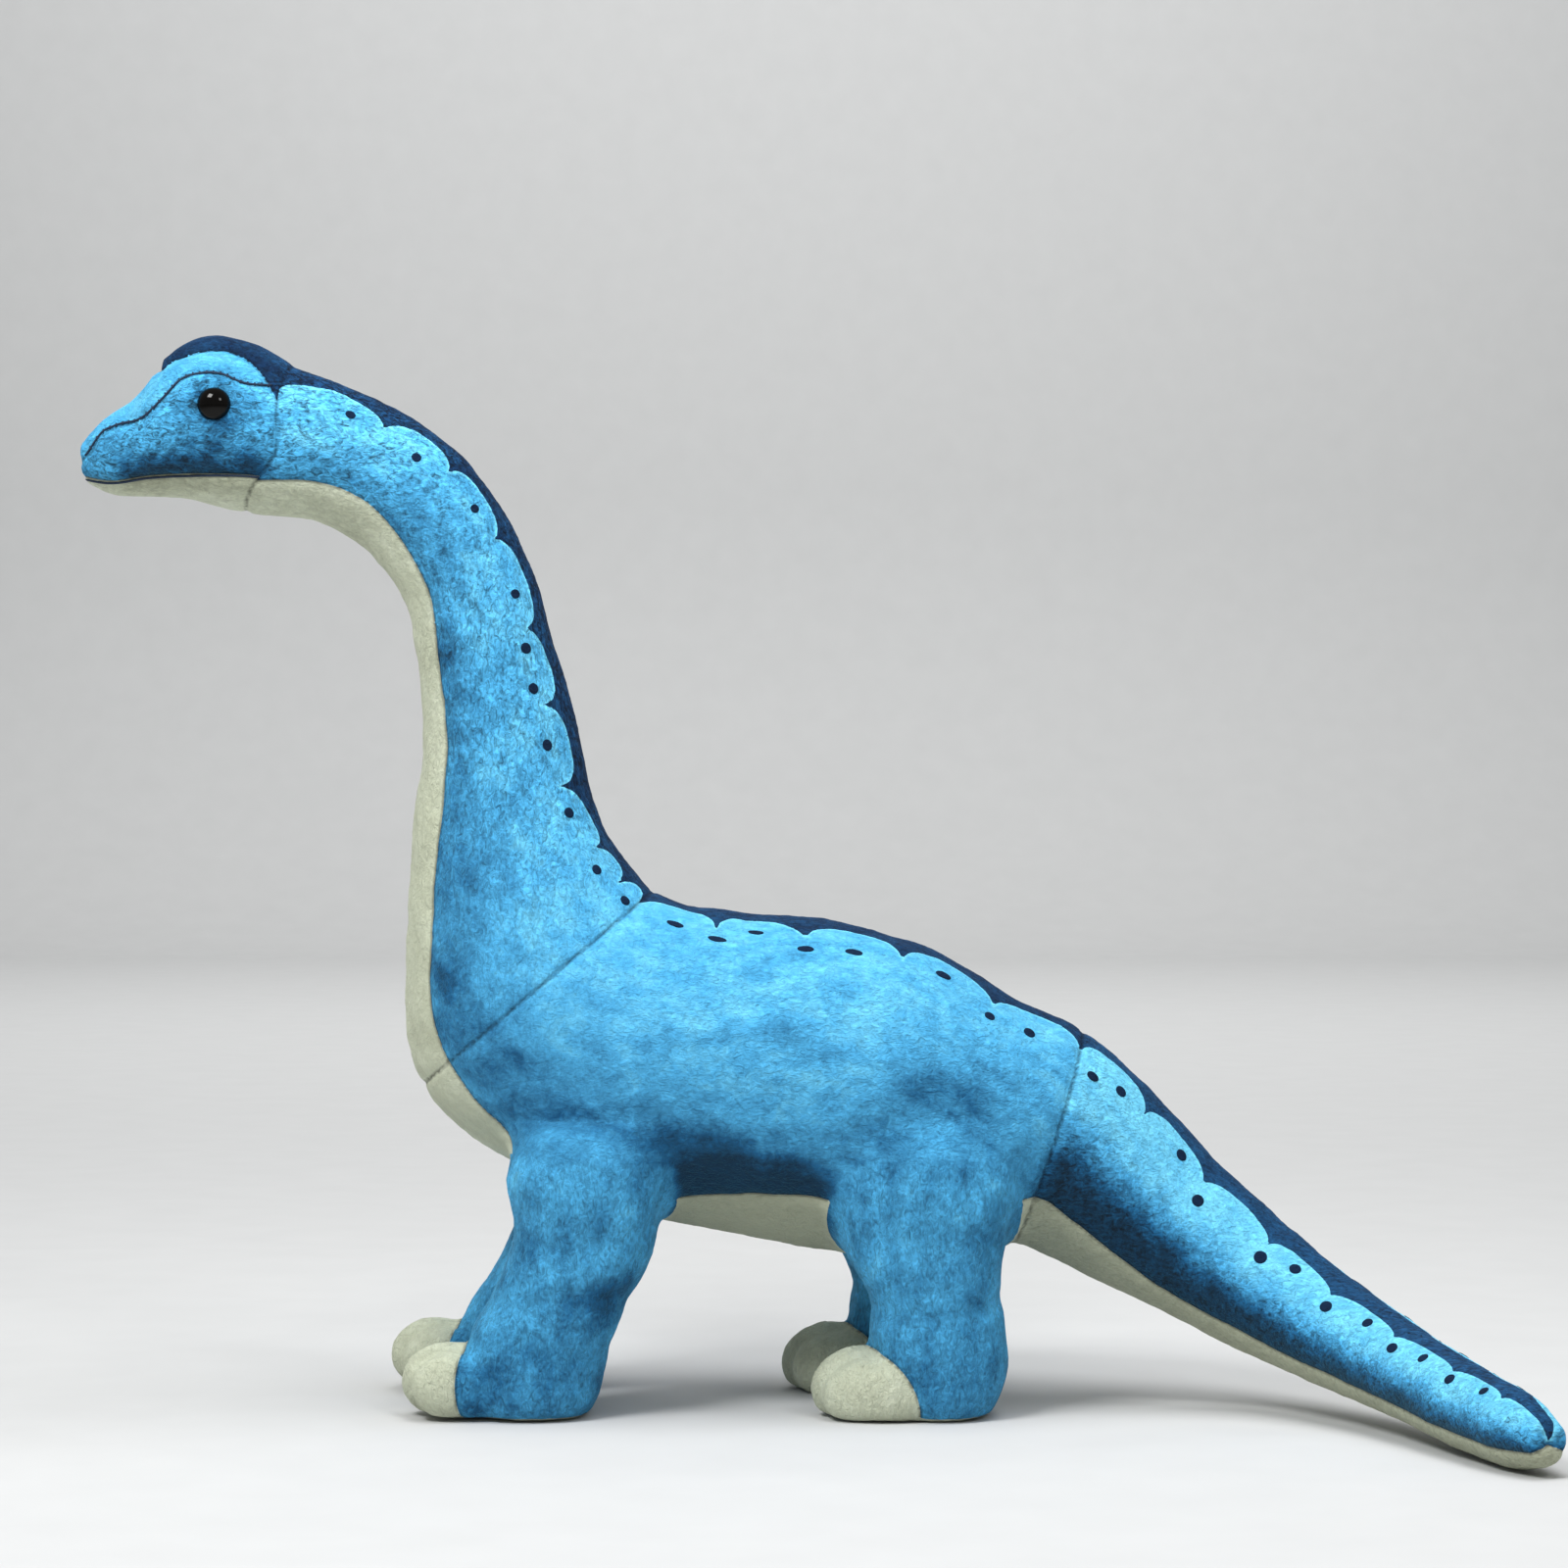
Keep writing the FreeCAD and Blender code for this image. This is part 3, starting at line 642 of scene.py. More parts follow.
for name, gap in seams.items():
    depth = seam_depth.get(name, 0.5 if name.endswith("sole") else 1.2)
    groove = 0.6 * np.exp(-(gap / 1.2) ** 2) + 0.4 * np.exp(-(gap / 4.5) ** 2)
    if name == "head":
        groove = groove * np.clip(angle / 1.2, 0.25, 1)
    pull = np.maximum(pull, depth * groove)
    if not name.endswith("sole"):
        seam_gap = np.minimum(seam_gap, gap)
facing = outward(skin, triangles)

# The crest is stuffed a little fuller than the brow, and the cover is pulled in at the eyes.
crest_puff = np.clip(-near["crest"] / 7, 0, 1) * face_part * behind_crest
crest_puff = crest_puff * np.clip(-near["head"] / 14, 0, 1)
low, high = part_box("eye_left")
eye_x, eye_z = (low.x + high.x) / 2 / mm, (low.z + high.z) / 2 / mm
from_eye = np.hypot(x - eye_x, z - eye_z)
pulled_in = 1.3 * np.exp(-(from_eye / 6.5) ** 2)
brow_swell = 0.9 * np.exp(-((from_eye - 11) / 4) ** 2) * (z > eye_z)
dimple = (pulled_in - brow_swell) * is_head
skin = skin - facing * pull[:, None]
skin = skin + facing * (1.2 * np.sqrt(crest_puff))[:, None] - facing * dimple[:, None]
skin[:, 2] = np.maximum(skin[:, 2], 0.0)

# How the pile lies: streaks along the cloth and darker patches at listed places; painted shade on
# the face, the underside and the legs is added to it below.
body_places = np.stack([along / 16, angle * radius / 5, wide], 1)
leg_places = np.stack([x / 6, y / 6, z / 14], 1)
streak = np.array([noise.noise(Vector(p)) for p in body_places])
leg_streak = np.array([noise.noise(Vector(p)) for p in leg_places])
streak = np.where(is_leg, leg_streak, streak)
# Darker patches at listed places.
dark_patches = (
    # x, z, reach along x, reach along z, how dark
    (0, 137, 11, 7, 0.55), (52, 117, 16, 9, 0.6), (70, 108, 10, 14, 0.5), (12, 64, 14, 12, 0.35),
    (-118, 154, 8, 6, 0.5), (-95, 124, 12, 6, 0.5), (-40, 100, 18, 12, 0.45), (-20, 92, 24, 9, 0.5),
    (-112, 253, 9, 5, 0.4), (-120, 268, 8, 5, 0.45), (-100, 196, 12, 8, 0.35), (30, 98, 14, 8, 0.4),
    (-84, 60, 12, 10, 0.4), (-60, 36, 10, 8, 0.4), (74, 60, 8, 16, 0.45), (-98, 330, 10, 8, 0.4),
    (-126, 318, 9, 9, 0.45), (-96, 214, 8, 6, 0.4), (-122, 134, 10, 6, 0.45), (20, 128, 9, 6, 0.4),
    (60, 108, 26, 18, 0.4),
)
lay_and_painted_shade = 0.18 * bumps(skin + 71, 17) + 0.12 * bumps(skin + 11, 8) + 0.28 * streak
for patch_x, patch_z, reach_x, reach_z, dark in dark_patches:
    off = ((x - patch_x) / reach_x) ** 2 + ((z - patch_z) / reach_z) ** 2
    lay_and_painted_shade = lay_and_painted_shade + 0.8 * dark * np.exp(-off)
# Painted shade: the cheeks are darker round the eye and along the jaw.
cheek = is_head & (fields["brow"] > 0)
face_shade = cheek * (0.25 + 0.6 * np.exp(-(from_eye / 11) ** 2))
face_shade = face_shade + cheek * 1.1 * np.exp(-((z - 333) / 7) ** 2) * (x > -236)
# Painted shade: the colour darkens towards the belly seam, most of all between the legs, and under
# the tail, while the top of the tail is lighter.
shade_low = np.clip((angle - 1.5) / 0.6, 0, 1) * (on_body & ~is_head) * 0.55
on_neck = on_body & ~is_head & (fields["neck"] < 0)
# Painted shadow under the belly, between the legs.
between = np.exp(-((x + 12.6) / 29) ** 4 - (np.maximum(z - 78, 0) / 11) ** 2)
shade_low = shade_low + 1.5 * between * (on_body & (z < 110))
on_tail = on_body & (fields["tail"] > 0)
tail_painted_shade = on_tail * (1.5 * np.clip((angle - np.radians(64)) / 0.5, 0, 1) - 0.4)
# Painted shade: the legs are darker all over, more so at the feet and in the fold behind the fore
# leg's knee.
leg_painted_shade = is_leg * (0.3 + 0.35 * np.exp(-((z - 12) / 14) ** 2))
fold_x = x + 62
fold_z = z - 44 - 0.5 * fold_x
leg_painted_shade = leg_painted_shade + is_leg * 0.8 * np.exp(-(fold_x / 12) ** 2 - (fold_z / 6) ** 2)
# All this painted shade is smoothed and added into the pile's lay.
painted_region_shade = face_shade + shade_low + tail_painted_shade + leg_painted_shade
painted_region_shade = ease(painted_region_shade[:, None], np.full(len(skin), 0.7), 12)[:, 0]
lay_and_painted_shade = lay_and_painted_shade + painted_region_shade
# The pile stands up where the cloth bends: deep on the neck, cheeks and tail, flat on the flank.
nap_depth = np.where(is_leg, 0.6, 0.4)
nap_depth = np.where(on_neck | cheek, np.clip(1.8 - along / 240, 0.6, 1.4), nap_depth)
nap_depth = np.where(on_tail, np.clip((angle - 0.8) / 0.5, 0.6, 1.7), nap_depth)
nap_depth = ease(nap_depth[:, None], np.full(len(skin), 0.7), 14)[:, 0]

# The pile points back along the body, and down on the neck and the legs.
pile_down = np.where(is_leg, 1.0, here.onward[:, 2] ** 2)
pile_down = ease(pile_down[:, None], np.full(len(skin), 0.7), 14)[:, 0]
print_edge = np.where(is_head | is_leg, 50.0, near["back"])

cut_values = values
carried = np.stack([print_edge, seam_gap, lay_and_painted_shade, pile_down, nap_depth], 1)


def cut_along(k):
    """Splits the triangles where one field is zero, so that panels part on a clean line."""
    global skin, triangles, cut_values, carried
    value = cut_values[:, k]
    value[np.abs(value) < 0.06] = 0.0
    sides = np.sign(value)
    pairs = np.sort(triangles[:, [[0, 1], [1, 2], [2, 0]]], axis=2)
    flat = pairs.reshape(-1, 2)
    crossed = sides[flat[:, 0]] * sides[flat[:, 1]] < 0
    keys = flat[:, 0].astype(np.int64) * len(skin) + flat[:, 1]
    unique, inverse = np.unique(keys[crossed], return_inverse=True)
    a, b = unique // len(skin), unique % len(skin)
    t = (value[a] / (value[a] - value[b]))[:, None]
    middle_point = np.full(len(flat), -1)
    middle_point[crossed] = len(skin) + inverse
    middle_point = middle_point.reshape(-1, 3)
    skin = np.concatenate([skin, skin[a] * (1 - t) + skin[b] * t])
    fresh = cut_values[a] * (1 - t) + cut_values[b] * t
    fresh[:, k] = 0
    cut_values = np.concatenate([cut_values, fresh])
    carried = np.concatenate([carried, carried[a] * (1 - t) + carried[b] * t])
    splits = (middle_point >= 0).sum(1)
    kept = [triangles[splits == 0]]
    for turn in range(3):
        order = [(turn + i) % 3 for i in range(3)]
        tri = triangles[:, order]
        mid = middle_point[:, order]
        one = (splits == 1) & (mid[:, 0] >= 0)
        kept.append(np.stack([tri[one, 0], mid[one, 0], tri[one, 2]], 1))
        kept.append(np.stack([mid[one, 0], tri[one, 1], tri[one, 2]], 1))
        two = (splits == 2) & (mid[:, 0] >= 0) & (mid[:, 2] >= 0)
        kept.append(np.stack([tri[two, 0], mid[two, 0], mid[two, 2]], 1))
        kept.append(np.stack([mid[two, 0], tri[two, 1], tri[two, 2]], 1))
        kept.append(np.stack([mid[two, 0], tri[two, 2], mid[two, 2]], 1))
    triangles = np.concatenate(kept)


for k in range(len(names)):
    cut_along(k)
facing = outward(skin, triangles)

# Each triangle belongs to the panel that its seams enclose.
centre_values = dict(zip(names, cut_values[triangles].mean(1).T))
panel_of = np.full(len(triangles), "", dtype=object)
left = centre_values["side"] < 0
for body, inside in (
    ("torso", (centre_values["neck"] >= 0) & (centre_values["tail"] < 0)),
    ("neck", (centre_values["head"] >= 0) & (centre_values["neck"] < 0)),
    ("tail", centre_values["tail"] >= 0),
):
    under = {"torso": "belly_panel", "neck": "throat_panel", "tail": "tail_underside"}[body]
    flank = {"torso": "flank", "neck": "neck_side", "tail": "tail_side"}[body]
    panel_of[inside & left] = f"{flank}_left"
    panel_of[inside & ~left] = f"{flank}_right"
    panel_of[inside & (centre_values["back"] < 0)] = f"{body}_back_strip"
    panel_of[inside & (centre_values["cream"] < 0)] = under
head_part = centre_values["head"] < 0
crest_part = head_part & (centre_values["crest"] < 0) & (centre_values["crest_front"] < 0)
brow_part = head_part & ~crest_part & (centre_values["brow"] < 0)
jaw_part = head_part & (centre_values["mouth"] < 0)
panel_of[head_part & left] = "cheek_left"
panel_of[head_part & ~left] = "cheek_right"
panel_of[brow_part & left] = "brow_panel_left"
panel_of[brow_part & ~left] = "brow_panel_right"
panel_of[crest_part] = "crest_panel"
panel_of[jaw_part] = "jaw_panel"
for pair, side in leg_names:
    in_leg = centre_values[f"{pair}_{side}"] < 0
    panel_of[in_leg] = f"{pair}_{side}_leg_cover"
    panel_of[in_leg & (centre_values[f"{pair}_{side}_toe"] < 0)] = f"{pair}_{side}_toe_cap"
    panel_of[in_leg & (centre_values["sole"] < 0)] = f"{pair}_{side}_sole"


def plush(name, body_colour, dark_and_shade_colour, light_colour, mottle_and_shade_reach, contrast, sheen, pale_edge_rim):
    """Short-pile plush: the pile's lay mottles it and carries painted shade, and painted shade
    darkens the seams; its tips glow at the edges of the form.
    """
    material, tree, shader = new_material(name)
    place = add_node(tree, "ShaderNodeTexCoord").outputs["Object"]
    lay_and_shade_at = add_node(tree, "ShaderNodeAttribute", {"attribute_name": "pile_lay_and_painted_shade"})
    seam_at = add_node(tree, "ShaderNodeAttribute", {"attribute_name": "seam_gap"})
    # Tufts are 0.5 mm across; they are drawn about three times as coarse so that they show,
    # combed across the body's length or, where the pile points down, along the height.
    tufts = []
    for stretch in ((0.5, 0.85, 1.0), (1.0, 0.85, 0.5)):
        combed = add_node(tree, "ShaderNodeVectorMath", {"operation": "MULTIPLY", 1: stretch},
                          _0=place)
        tufts.append(add_node(tree, "ShaderNodeTexNoise", {
            "Scale": 620.0, "Detail": 3.0, "Roughness": 0.6, "Distortion": 1.3,
        }, Vector=combed.outputs[0]))
    lie_at = add_node(tree, "ShaderNodeAttribute", {"attribute_name": "pile_down"})
    tuft = add_node(tree, "ShaderNodeMix", {"data_type": "FLOAT"}, _0=lie_at.outputs["Fac"],
                    _2=tufts[0].outputs["Fac"], _3=tufts[1].outputs["Fac"])
    locks = add_node(tree, "ShaderNodeTexNoise", {"Scale": 260.0, "Detail": 5.0,
                                                  "Roughness": 0.65, "Distortion": 1.0},
                     Vector=place)
    waves = add_node(tree, "ShaderNodeTexNoise", {"Scale": 70.0, "Detail": 7.0,
                                                  "Roughness": 0.62, "Distortion": 1.2},
                     Vector=place)
    mixed = add_node(tree, "ShaderNodeMath", {"operation": "MULTIPLY_ADD", 1: 0.8, 2: -0.4},
                     _0=waves.outputs["Fac"])
    fine = add_node(tree, "ShaderNodeMath", {"operation": "MULTIPLY_ADD", 1: 0.9, 2: -0.45},
                    _0=locks.outputs["Fac"])
    total = add_node(tree, "ShaderNodeMath", {"operation": "ADD"},
                     _0=lay_and_shade_at.outputs["Fac"], _1=mixed.outputs[0])
    total = add_node(tree, "ShaderNodeMath", {"operation": "ADD"},
                     _0=total.outputs[0], _1=fine.outputs[0])
    amount = add_node(tree, "ShaderNodeMapRange", {"From Min": -0.75, "From Max": 1.35,
                                                   "To Min": 0.0, "To Max": mottle_and_shade_reach},
                      Value=total.outputs[0])
    cloth = add_node(tree, "ShaderNodeValToRGB", Fac=amount.outputs[0])
    ramp = cloth.color_ramp
    ramp.elements[0].position, ramp.elements[0].color = 0.1, srgb(light_colour)
    ramp.elements[1].position, ramp.elements[1].color = 0.78, srgb(dark_and_shade_colour)
    # The darkest stop, a third of the dark colour, carries the deepest painted shade as well as the
    # darkest mottling.
    deepest_shade_stop = ramp.elements.new(1.0)
    deepest_shade_stop.color = [channel * 0.3 for channel in srgb(dark_and_shade_colour)[:3]] + [1.0]
    middle_stop = ramp.elements.new(0.42)
    middle_stop.color = srgb(body_colour)
    depth_at = add_node(tree, "ShaderNodeAttribute", {"attribute_name": "nap_depth"})
    swing = add_node(tree, "ShaderNodeMath", {"operation": "MULTIPLY_ADD",
                                              1: 3.4 * contrast, 2: -1.7 * contrast},
                     _0=tuft.outputs[0])
    speck = add_node(tree, "ShaderNodeMath", {"operation": "MULTIPLY_ADD", 2: 1.0},
                     _0=swing.outputs[0], _1=depth_at.outputs["Fac"])
    speck = add_node(tree, "ShaderNodeMath", {"operation": "MAXIMUM", 1: 0.25},
                     _0=speck.outputs[0])
    # Painted shade: the colour darkens towards each seam, in its groove.
    seam_painted_shade = add_node(tree, "ShaderNodeMapRange", {"From Min": 0.15, "From Max": 1.1,
                                                      "To Min": 0.3, "To Max": 1.0},
                         Value=seam_at.outputs["Fac"])
    grain_and_seam_shade = add_node(tree, "ShaderNodeMath", {"operation": "MULTIPLY"},
                    _0=speck.outputs[0], _1=seam_painted_shade.outputs[0])
    colour = cloth.outputs["Color"]
    # A pale line is painted along the scallop edge.
    if pale_edge_rim:
        edge_at = add_node(tree, "ShaderNodeAttribute", {"attribute_name": "print_edge"})
        rim = add_node(tree, "ShaderNodeMapRange", {"From Min": 0.5, "From Max": 1.5,
                                                    "To Min": 0.8, "To Max": 0.0},
                       Value=edge_at.outputs["Fac"])
        pale = add_node(tree, "ShaderNodeMix", {"data_type": "RGBA"}, Factor=rim.outputs[0])
        tree.links.new(colour, pale.inputs[6])
        pale.inputs[7].default_value = srgb(light_colour)
        colour = pale.outputs[2]
    tinted = add_node(tree, "ShaderNodeVectorMath", {"operation": "SCALE"}, _0=colour,
                      Scale=grain_and_seam_shade.outputs[0])
    tree.links.new(tinted.outputs[0], shader.inputs["Base Color"])
    rough_bump = add_node(tree, "ShaderNodeBump", {"Strength": 0.7, "Distance": 0.0016},
                          Height=locks.outputs["Fac"])
    tuft_bump = add_node(tree, "ShaderNodeBump", {"Strength": 0.8, "Distance": 0.0012},
                         Height=tuft.outputs[0], Normal=rough_bump.outputs["Normal"])
    tree.links.new(tuft_bump.outputs["Normal"], shader.inputs["Normal"])
    shader.inputs["Roughness"].default_value = 0.82
    shader.inputs["Specular IOR Level"].default_value = 0.25
    shader.inputs["Sheen Weight"].default_value = sheen
    shader.inputs["Sheen Roughness"].default_value = 0.45
    shader.inputs["Sheen Tint"].default_value = srgb(light_colour)
    return material


# Sublimation-printed polyester plush; light where the pile lies flat, darker where it parts, and
# darker still where shade is painted in.
blue_plush = plush("printed_blue_polyester_plush", "#4ba8da", "#175a86", "#74d0f2", 1.0, 1.0, 0.25,
                   True)
navy_plush = plush("dyed_navy_polyester_plush", "#072646", "#041328", "#17456c", 0.9, 2.0, 0.04,
                   False)
cream_plush = plush("undyed_cream_polyester_plush", "#c6ccb4", "#a0a48c", "#e0e6d2", 0.7, 0.2, 0.25,
                    False)

body_of = {}
for body, panels in frame["record"]["behaviour"]["bodies"].items():
    for label in panels:
        body_of[label] = body
for label in sorted(set(panel_of)):
    used = triangles[panel_of == label]
    points, local = np.unique(used, return_inverse=True)
    local = local.reshape(-1, 3)
    count = len(points)
    outer = skin[points]
    inner = outer - facing[points] * cloth_thick
    inner[:, 2] = np.maximum(inner[:, 2], 0.2)
    edge_list = local[:, [[0, 1], [1, 2], [2, 0]]].reshape(-1, 2)
    keys = np.sort(edge_list, axis=1)
    _, index, times = np.unique(keys, axis=0, return_index=True, return_counts=True)
    rim_edges = edge_list[index[times == 1]]
    rim_a = np.stack([rim_edges[:, 1], rim_edges[:, 0], rim_edges[:, 0] + count], 1)
    rim_b = np.stack([rim_edges[:, 1], rim_edges[:, 0] + count, rim_edges[:, 1] + count], 1)
    faces = np.concatenate([local, local[:, ::-1] + count, rim_a, rim_b])
    piece = new_object(
        f"{label}_plush", (np.concatenate([outer, inner]) * mm).tolist(), faces.tolist()
    )
    mesh = piece.data
    mesh.polygons.foreach_set("use_smooth", np.ones(len(faces), bool))
    mesh.normals_split_custom_set_from_vertices(
        np.concatenate([facing[points], -facing[points]]).tolist()
    )
    for k, attribute in enumerate(
        ("print_edge", "seam_gap", "pile_lay_and_painted_shade", "pile_down", "nap_depth")
    ):
        stored = mesh.attributes.new(attribute, "FLOAT", "POINT")
        stored.data.foreach_set("value", np.tile(carried[points, k], 2).astype(np.float32))
    cream = label.startswith(("belly", "throat", "tail_under", "jaw")) or label.endswith(
        ("toe_cap", "sole"))
    navy = label.endswith("back_strip") or label == "crest_panel"
    mesh.materials.append(cream_plush if cream else navy_plush if navy else blue_plush)
    body = body_of[label]
    if label.endswith(("toe_cap", "sole")):
        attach(piece, body)
        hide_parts(label)
    else:
        settle(piece, body, (label,))

# ---------------------------------------------------------------- eyes
# Black moulded acrylic safety eyes: a high-gloss dome on a stem that goes through the cheek
# and is held by a toothed nylon washer behind the cloth.


def lathe(name, profile, place, outward_sign, around=48):
    """A turned part from (radius, distance outwards) pairs, standing out along Y."""
    rings = np.zeros((len(profile), around, 3))
    spin = np.linspace(0, 2 * math.pi, around, endpoint=False)
    for row, (reach, out) in enumerate(profile):
        rings[row, :, 0] = place[0] + reach * np.cos(spin)
        rings[row, :, 1] = place[1] + outward_sign * out
        rings[row, :, 2] = place[2] + reach * np.sin(spin) * outward_sign
    points, faces = tube_mesh(rings * mm)
    piece = new_object(name, points, faces)
    piece.data.polygons.foreach_set("use_smooth", [True] * len(faces))
    return piece


# Acrylic, polished: nearly black with a faint swirl from moulding; its gloss gives sharp
# highlights.
acrylic, tree, shader = new_material("polished_black_acrylic")
place = add_node(tree, "ShaderNodeTexCoord").outputs["Object"]
swirl = add_node(tree, "ShaderNodeTexNoise", {"Scale": 90.0, "Detail": 2.0}, Vector=place)
iris = add_node(tree, "ShaderNodeMix", {"data_type": "RGBA"}, Factor=swirl.outputs["Fac"])
iris.inputs[6].default_value = srgb("#030303")
iris.inputs[7].default_value = srgb("#0b0806")
tree.links.new(iris.outputs[2], shader.inputs["Base Color"])
shader.inputs["Roughness"].default_value = 0.05
shader.inputs["IOR"].default_value = 1.49
shader.inputs["Specular IOR Level"].default_value = 0.2

# Nylon 6, moulded: milky white and slightly rough.
nylon, tree, shader = new_material("moulded_white_nylon")
place = add_node(tree, "ShaderNodeTexCoord").outputs["Object"]
flow = add_node(tree, "ShaderNodeTexNoise", {"Scale": 400.0, "Detail": 2.0}, Vector=place)
milky = add_node(tree, "ShaderNodeMix", {"data_type": "RGBA"}, Factor=flow.outputs["Fac"])
milky.inputs[6].default_value = srgb("#dcdcd6")
milky.inputs[7].default_value = srgb("#efefea")
tree.links.new(milky.outputs[2], shader.inputs["Base Color"])
shader.inputs["Roughness"].default_value = 0.45
shader.inputs["IOR"].default_value = 1.53

skin_tree = BVHTree.FromPolygons((skin * mm).tolist(), triangles.tolist())
eye_radius = 6.0
eye_dome = 4.6
for side in ("left", "right"):
    sign = side_sign[side]
    start = Vector((eye_x * mm, (middle_y + sign * 80) * mm, eye_z * mm))
    hit = skin_tree.ray_cast(start, Vector((0, -sign, 0)))[0]
    seat = abs(hit.y / mm - middle_y) - 0.4
    bow = [math.radians(a) for a in range(0, 91, 6)]
    profile = [(0.01, eye_dome)]
    profile += [(eye_radius * math.sin(a), eye_dome * math.cos(a)) for a in bow[1:]]
    profile += [(eye_radius, -0.5), (2.4, -0.8), (2.4, -8.0), (1.6, -9.0), (0.01, -9.0)]
    place = (eye_x, middle_y + sign * seat, eye_z)
    dome = lathe(f"eye_{side}_dome", profile, place, sign)
    dome.data.materials.append(acrylic)
    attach(dome, "head")
    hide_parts(f"eye_{side}")
    ring = [(2.5, -3.2), (7.2, -3.0), (7.5, -3.4), (7.4, -4.4), (3.2, -4.9), (2.5, -4.6)]
    washer = lathe(f"eye_{side}_washer", ring[::-1] + [ring[-1]], place, sign)
    washer.data.materials.append(nylon)
    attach(washer, "head")
    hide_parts(f"eye_washer_{side}")

# ---------------------------------------------------------------- printed dots
# Navy dots printed in the light scallops, about 3 mm across on the neck and longer on the
# body and tail. Each lies on the pile as a thin disc; those on the torso are attached to it, the
# others are baked in place.

dots = {
    # place along the body, angle from the back in degrees, half length, half height
    "neck": ((98, 53, 1.9, 1.6), (124, 57, 1.8, 1.8), (148, 48, 1.6, 1.8), (174, 47, 1.7, 2.0),
             (190, 51, 2.0, 2.2), (204, 53, 2.0, 2.0), (224, 51, 2.1, 2.0), (248, 45, 1.9, 2.2),
             (279, 40, 1.9, 2.0), (304, 33, 1.9, 2.1)),
    "torso": ((342, 29, 3.2, 1.6), (378, 33, 3.4, 1.5), (398, 24, 2.8, 1.5), (416, 34, 3.0, 1.6),
              (432, 31, 3.2, 1.8), (460, 28, 3.0, 1.9), (476, 37, 2.0, 1.8), (489, 35, 2.2, 2.2)),
    "tail": ((511, 44, 2.4, 2.0), (520, 38, 2.2, 2.2), (548, 34, 2.2, 2.4), (564, 50, 2.2, 2.4),
             (600, 48, 2.4, 2.4), (615, 34, 2.2, 2.0), (639, 46, 2.4, 2.2), (661, 34, 2.0, 2.0),
             (682, 44, 2.4, 2.0), (700, 34, 2.0, 2.0), (722, 42, 2.2, 2.0), (742, 34, 1.8, 1.8)),
}
dot_rise = 0.28
dot_around = 18
dot_rings = ((1.0, -0.3), (1.0, 0.5), (0.86, 0.9), (0.45, 1.0))
for body, rows in dots.items():
    for side in ("left", "right"):
        points, faces = [], []
        for place_along, down, half_long, half_high in rows:
            spot = Run(np.array([float(place_along)]))
            middle_up = math.cos(math.radians(down)) * spot.deep[0]
            middle_out = math.sin(math.radians(down)) * spot.wide[0]
            centre_at = spot.middle[0] + spot.up[0] * middle_up
            centre_at = centre_at + spot.side[0] * side_sign[side] * middle_out
            found, normal, _, _ = skin_tree.find_nearest(Vector(centre_at) * mm)
            long_dir = Vector(spot.onward[0])
            long_dir = (long_dir - long_dir.dot(normal) * normal).normalized()
            high_dir = normal.cross(long_dir)
            base = len(points)
            for share_out, rise in dot_rings:
                for k in range(dot_around):
                    turn = 2 * math.pi * k / dot_around
                    flat = found + long_dir * (half_long * share_out * math.cos(turn) * mm)
                    flat = flat + high_dir * (half_high * share_out * math.sin(turn) * mm)
                    foot, up, _, _ = skin_tree.find_nearest(flat)
                    points.append(tuple(foot + up * (dot_rise * rise * mm)))
            foot, up, _, _ = skin_tree.find_nearest(found)
            points.append(tuple(foot + up * (dot_rise * mm)))
            points.append(tuple(foot - up * (0.3 * dot_rise * mm)))
            inner_row = base + (len(dot_rings) - 1) * dot_around
            top = inner_row + dot_around
            bottom = top + 1
            for row in range(len(dot_rings) - 1):
                low_row = base + row * dot_around
                high_row = low_row + dot_around
                for k in range(dot_around):
                    after = (k + 1) % dot_around
                    faces.append((low_row + k, low_row + after, high_row + after, high_row + k))
            for k in range(dot_around):
                after = (k + 1) % dot_around
                faces.append((inner_row + k, inner_row + after, top))
                faces.append((base + after, base + k, bottom))
        piece = new_object(f"{body}_dots_{side}", points, faces)
        piece.data.polygons.foreach_set("use_smooth", [True] * len(faces))
        for attribute, value in (("print_edge", 9.0), ("seam_gap", 9.0), ("pile_lay_and_painted_shade", 0.6),
                                 ("pile_down", 0.5)):
            stored = piece.data.attributes.new(attribute, "FLOAT", "POINT")
            stored.data.foreach_set("value", np.full(len(points), value, np.float32))
        piece.data.materials.append(navy_plush)
        settle(piece, body)

# ---------------------------------------------------------------- sewing thread
# Dark polyester thread: a line of short stitches that pulls the brow seam tight, and a plain
# run along the mouth. It lies in the bottom of the seam's groove.

# Spun polyester thread: dull dark blue, with a fine twist that breaks its highlight.
thread, tree, shader = new_material("spun_polyester_thread")
place = add_node(tree, "ShaderNodeTexCoord").outputs["Object"]
twist = add_node(tree, "ShaderNodeTexNoise", {"Scale": 1500.0, "Detail": 2.0}, Vector=place)
shade = add_node(tree, "ShaderNodeMix", {"data_type": "RGBA"}, Factor=twist.outputs["Fac"])
shade.inputs[6].default_value = srgb("#0c1a2b")
shade.inputs[7].default_value = srgb("#1f3a58")
tree.links.new(shade.outputs[2], shader.inputs["Base Color"])
shader.inputs["Roughness"].default_value = 0.7

thread_half = 0.45
stitch_half = 0.34
stitch_reach = 0.8
stitch_rise = 0.12


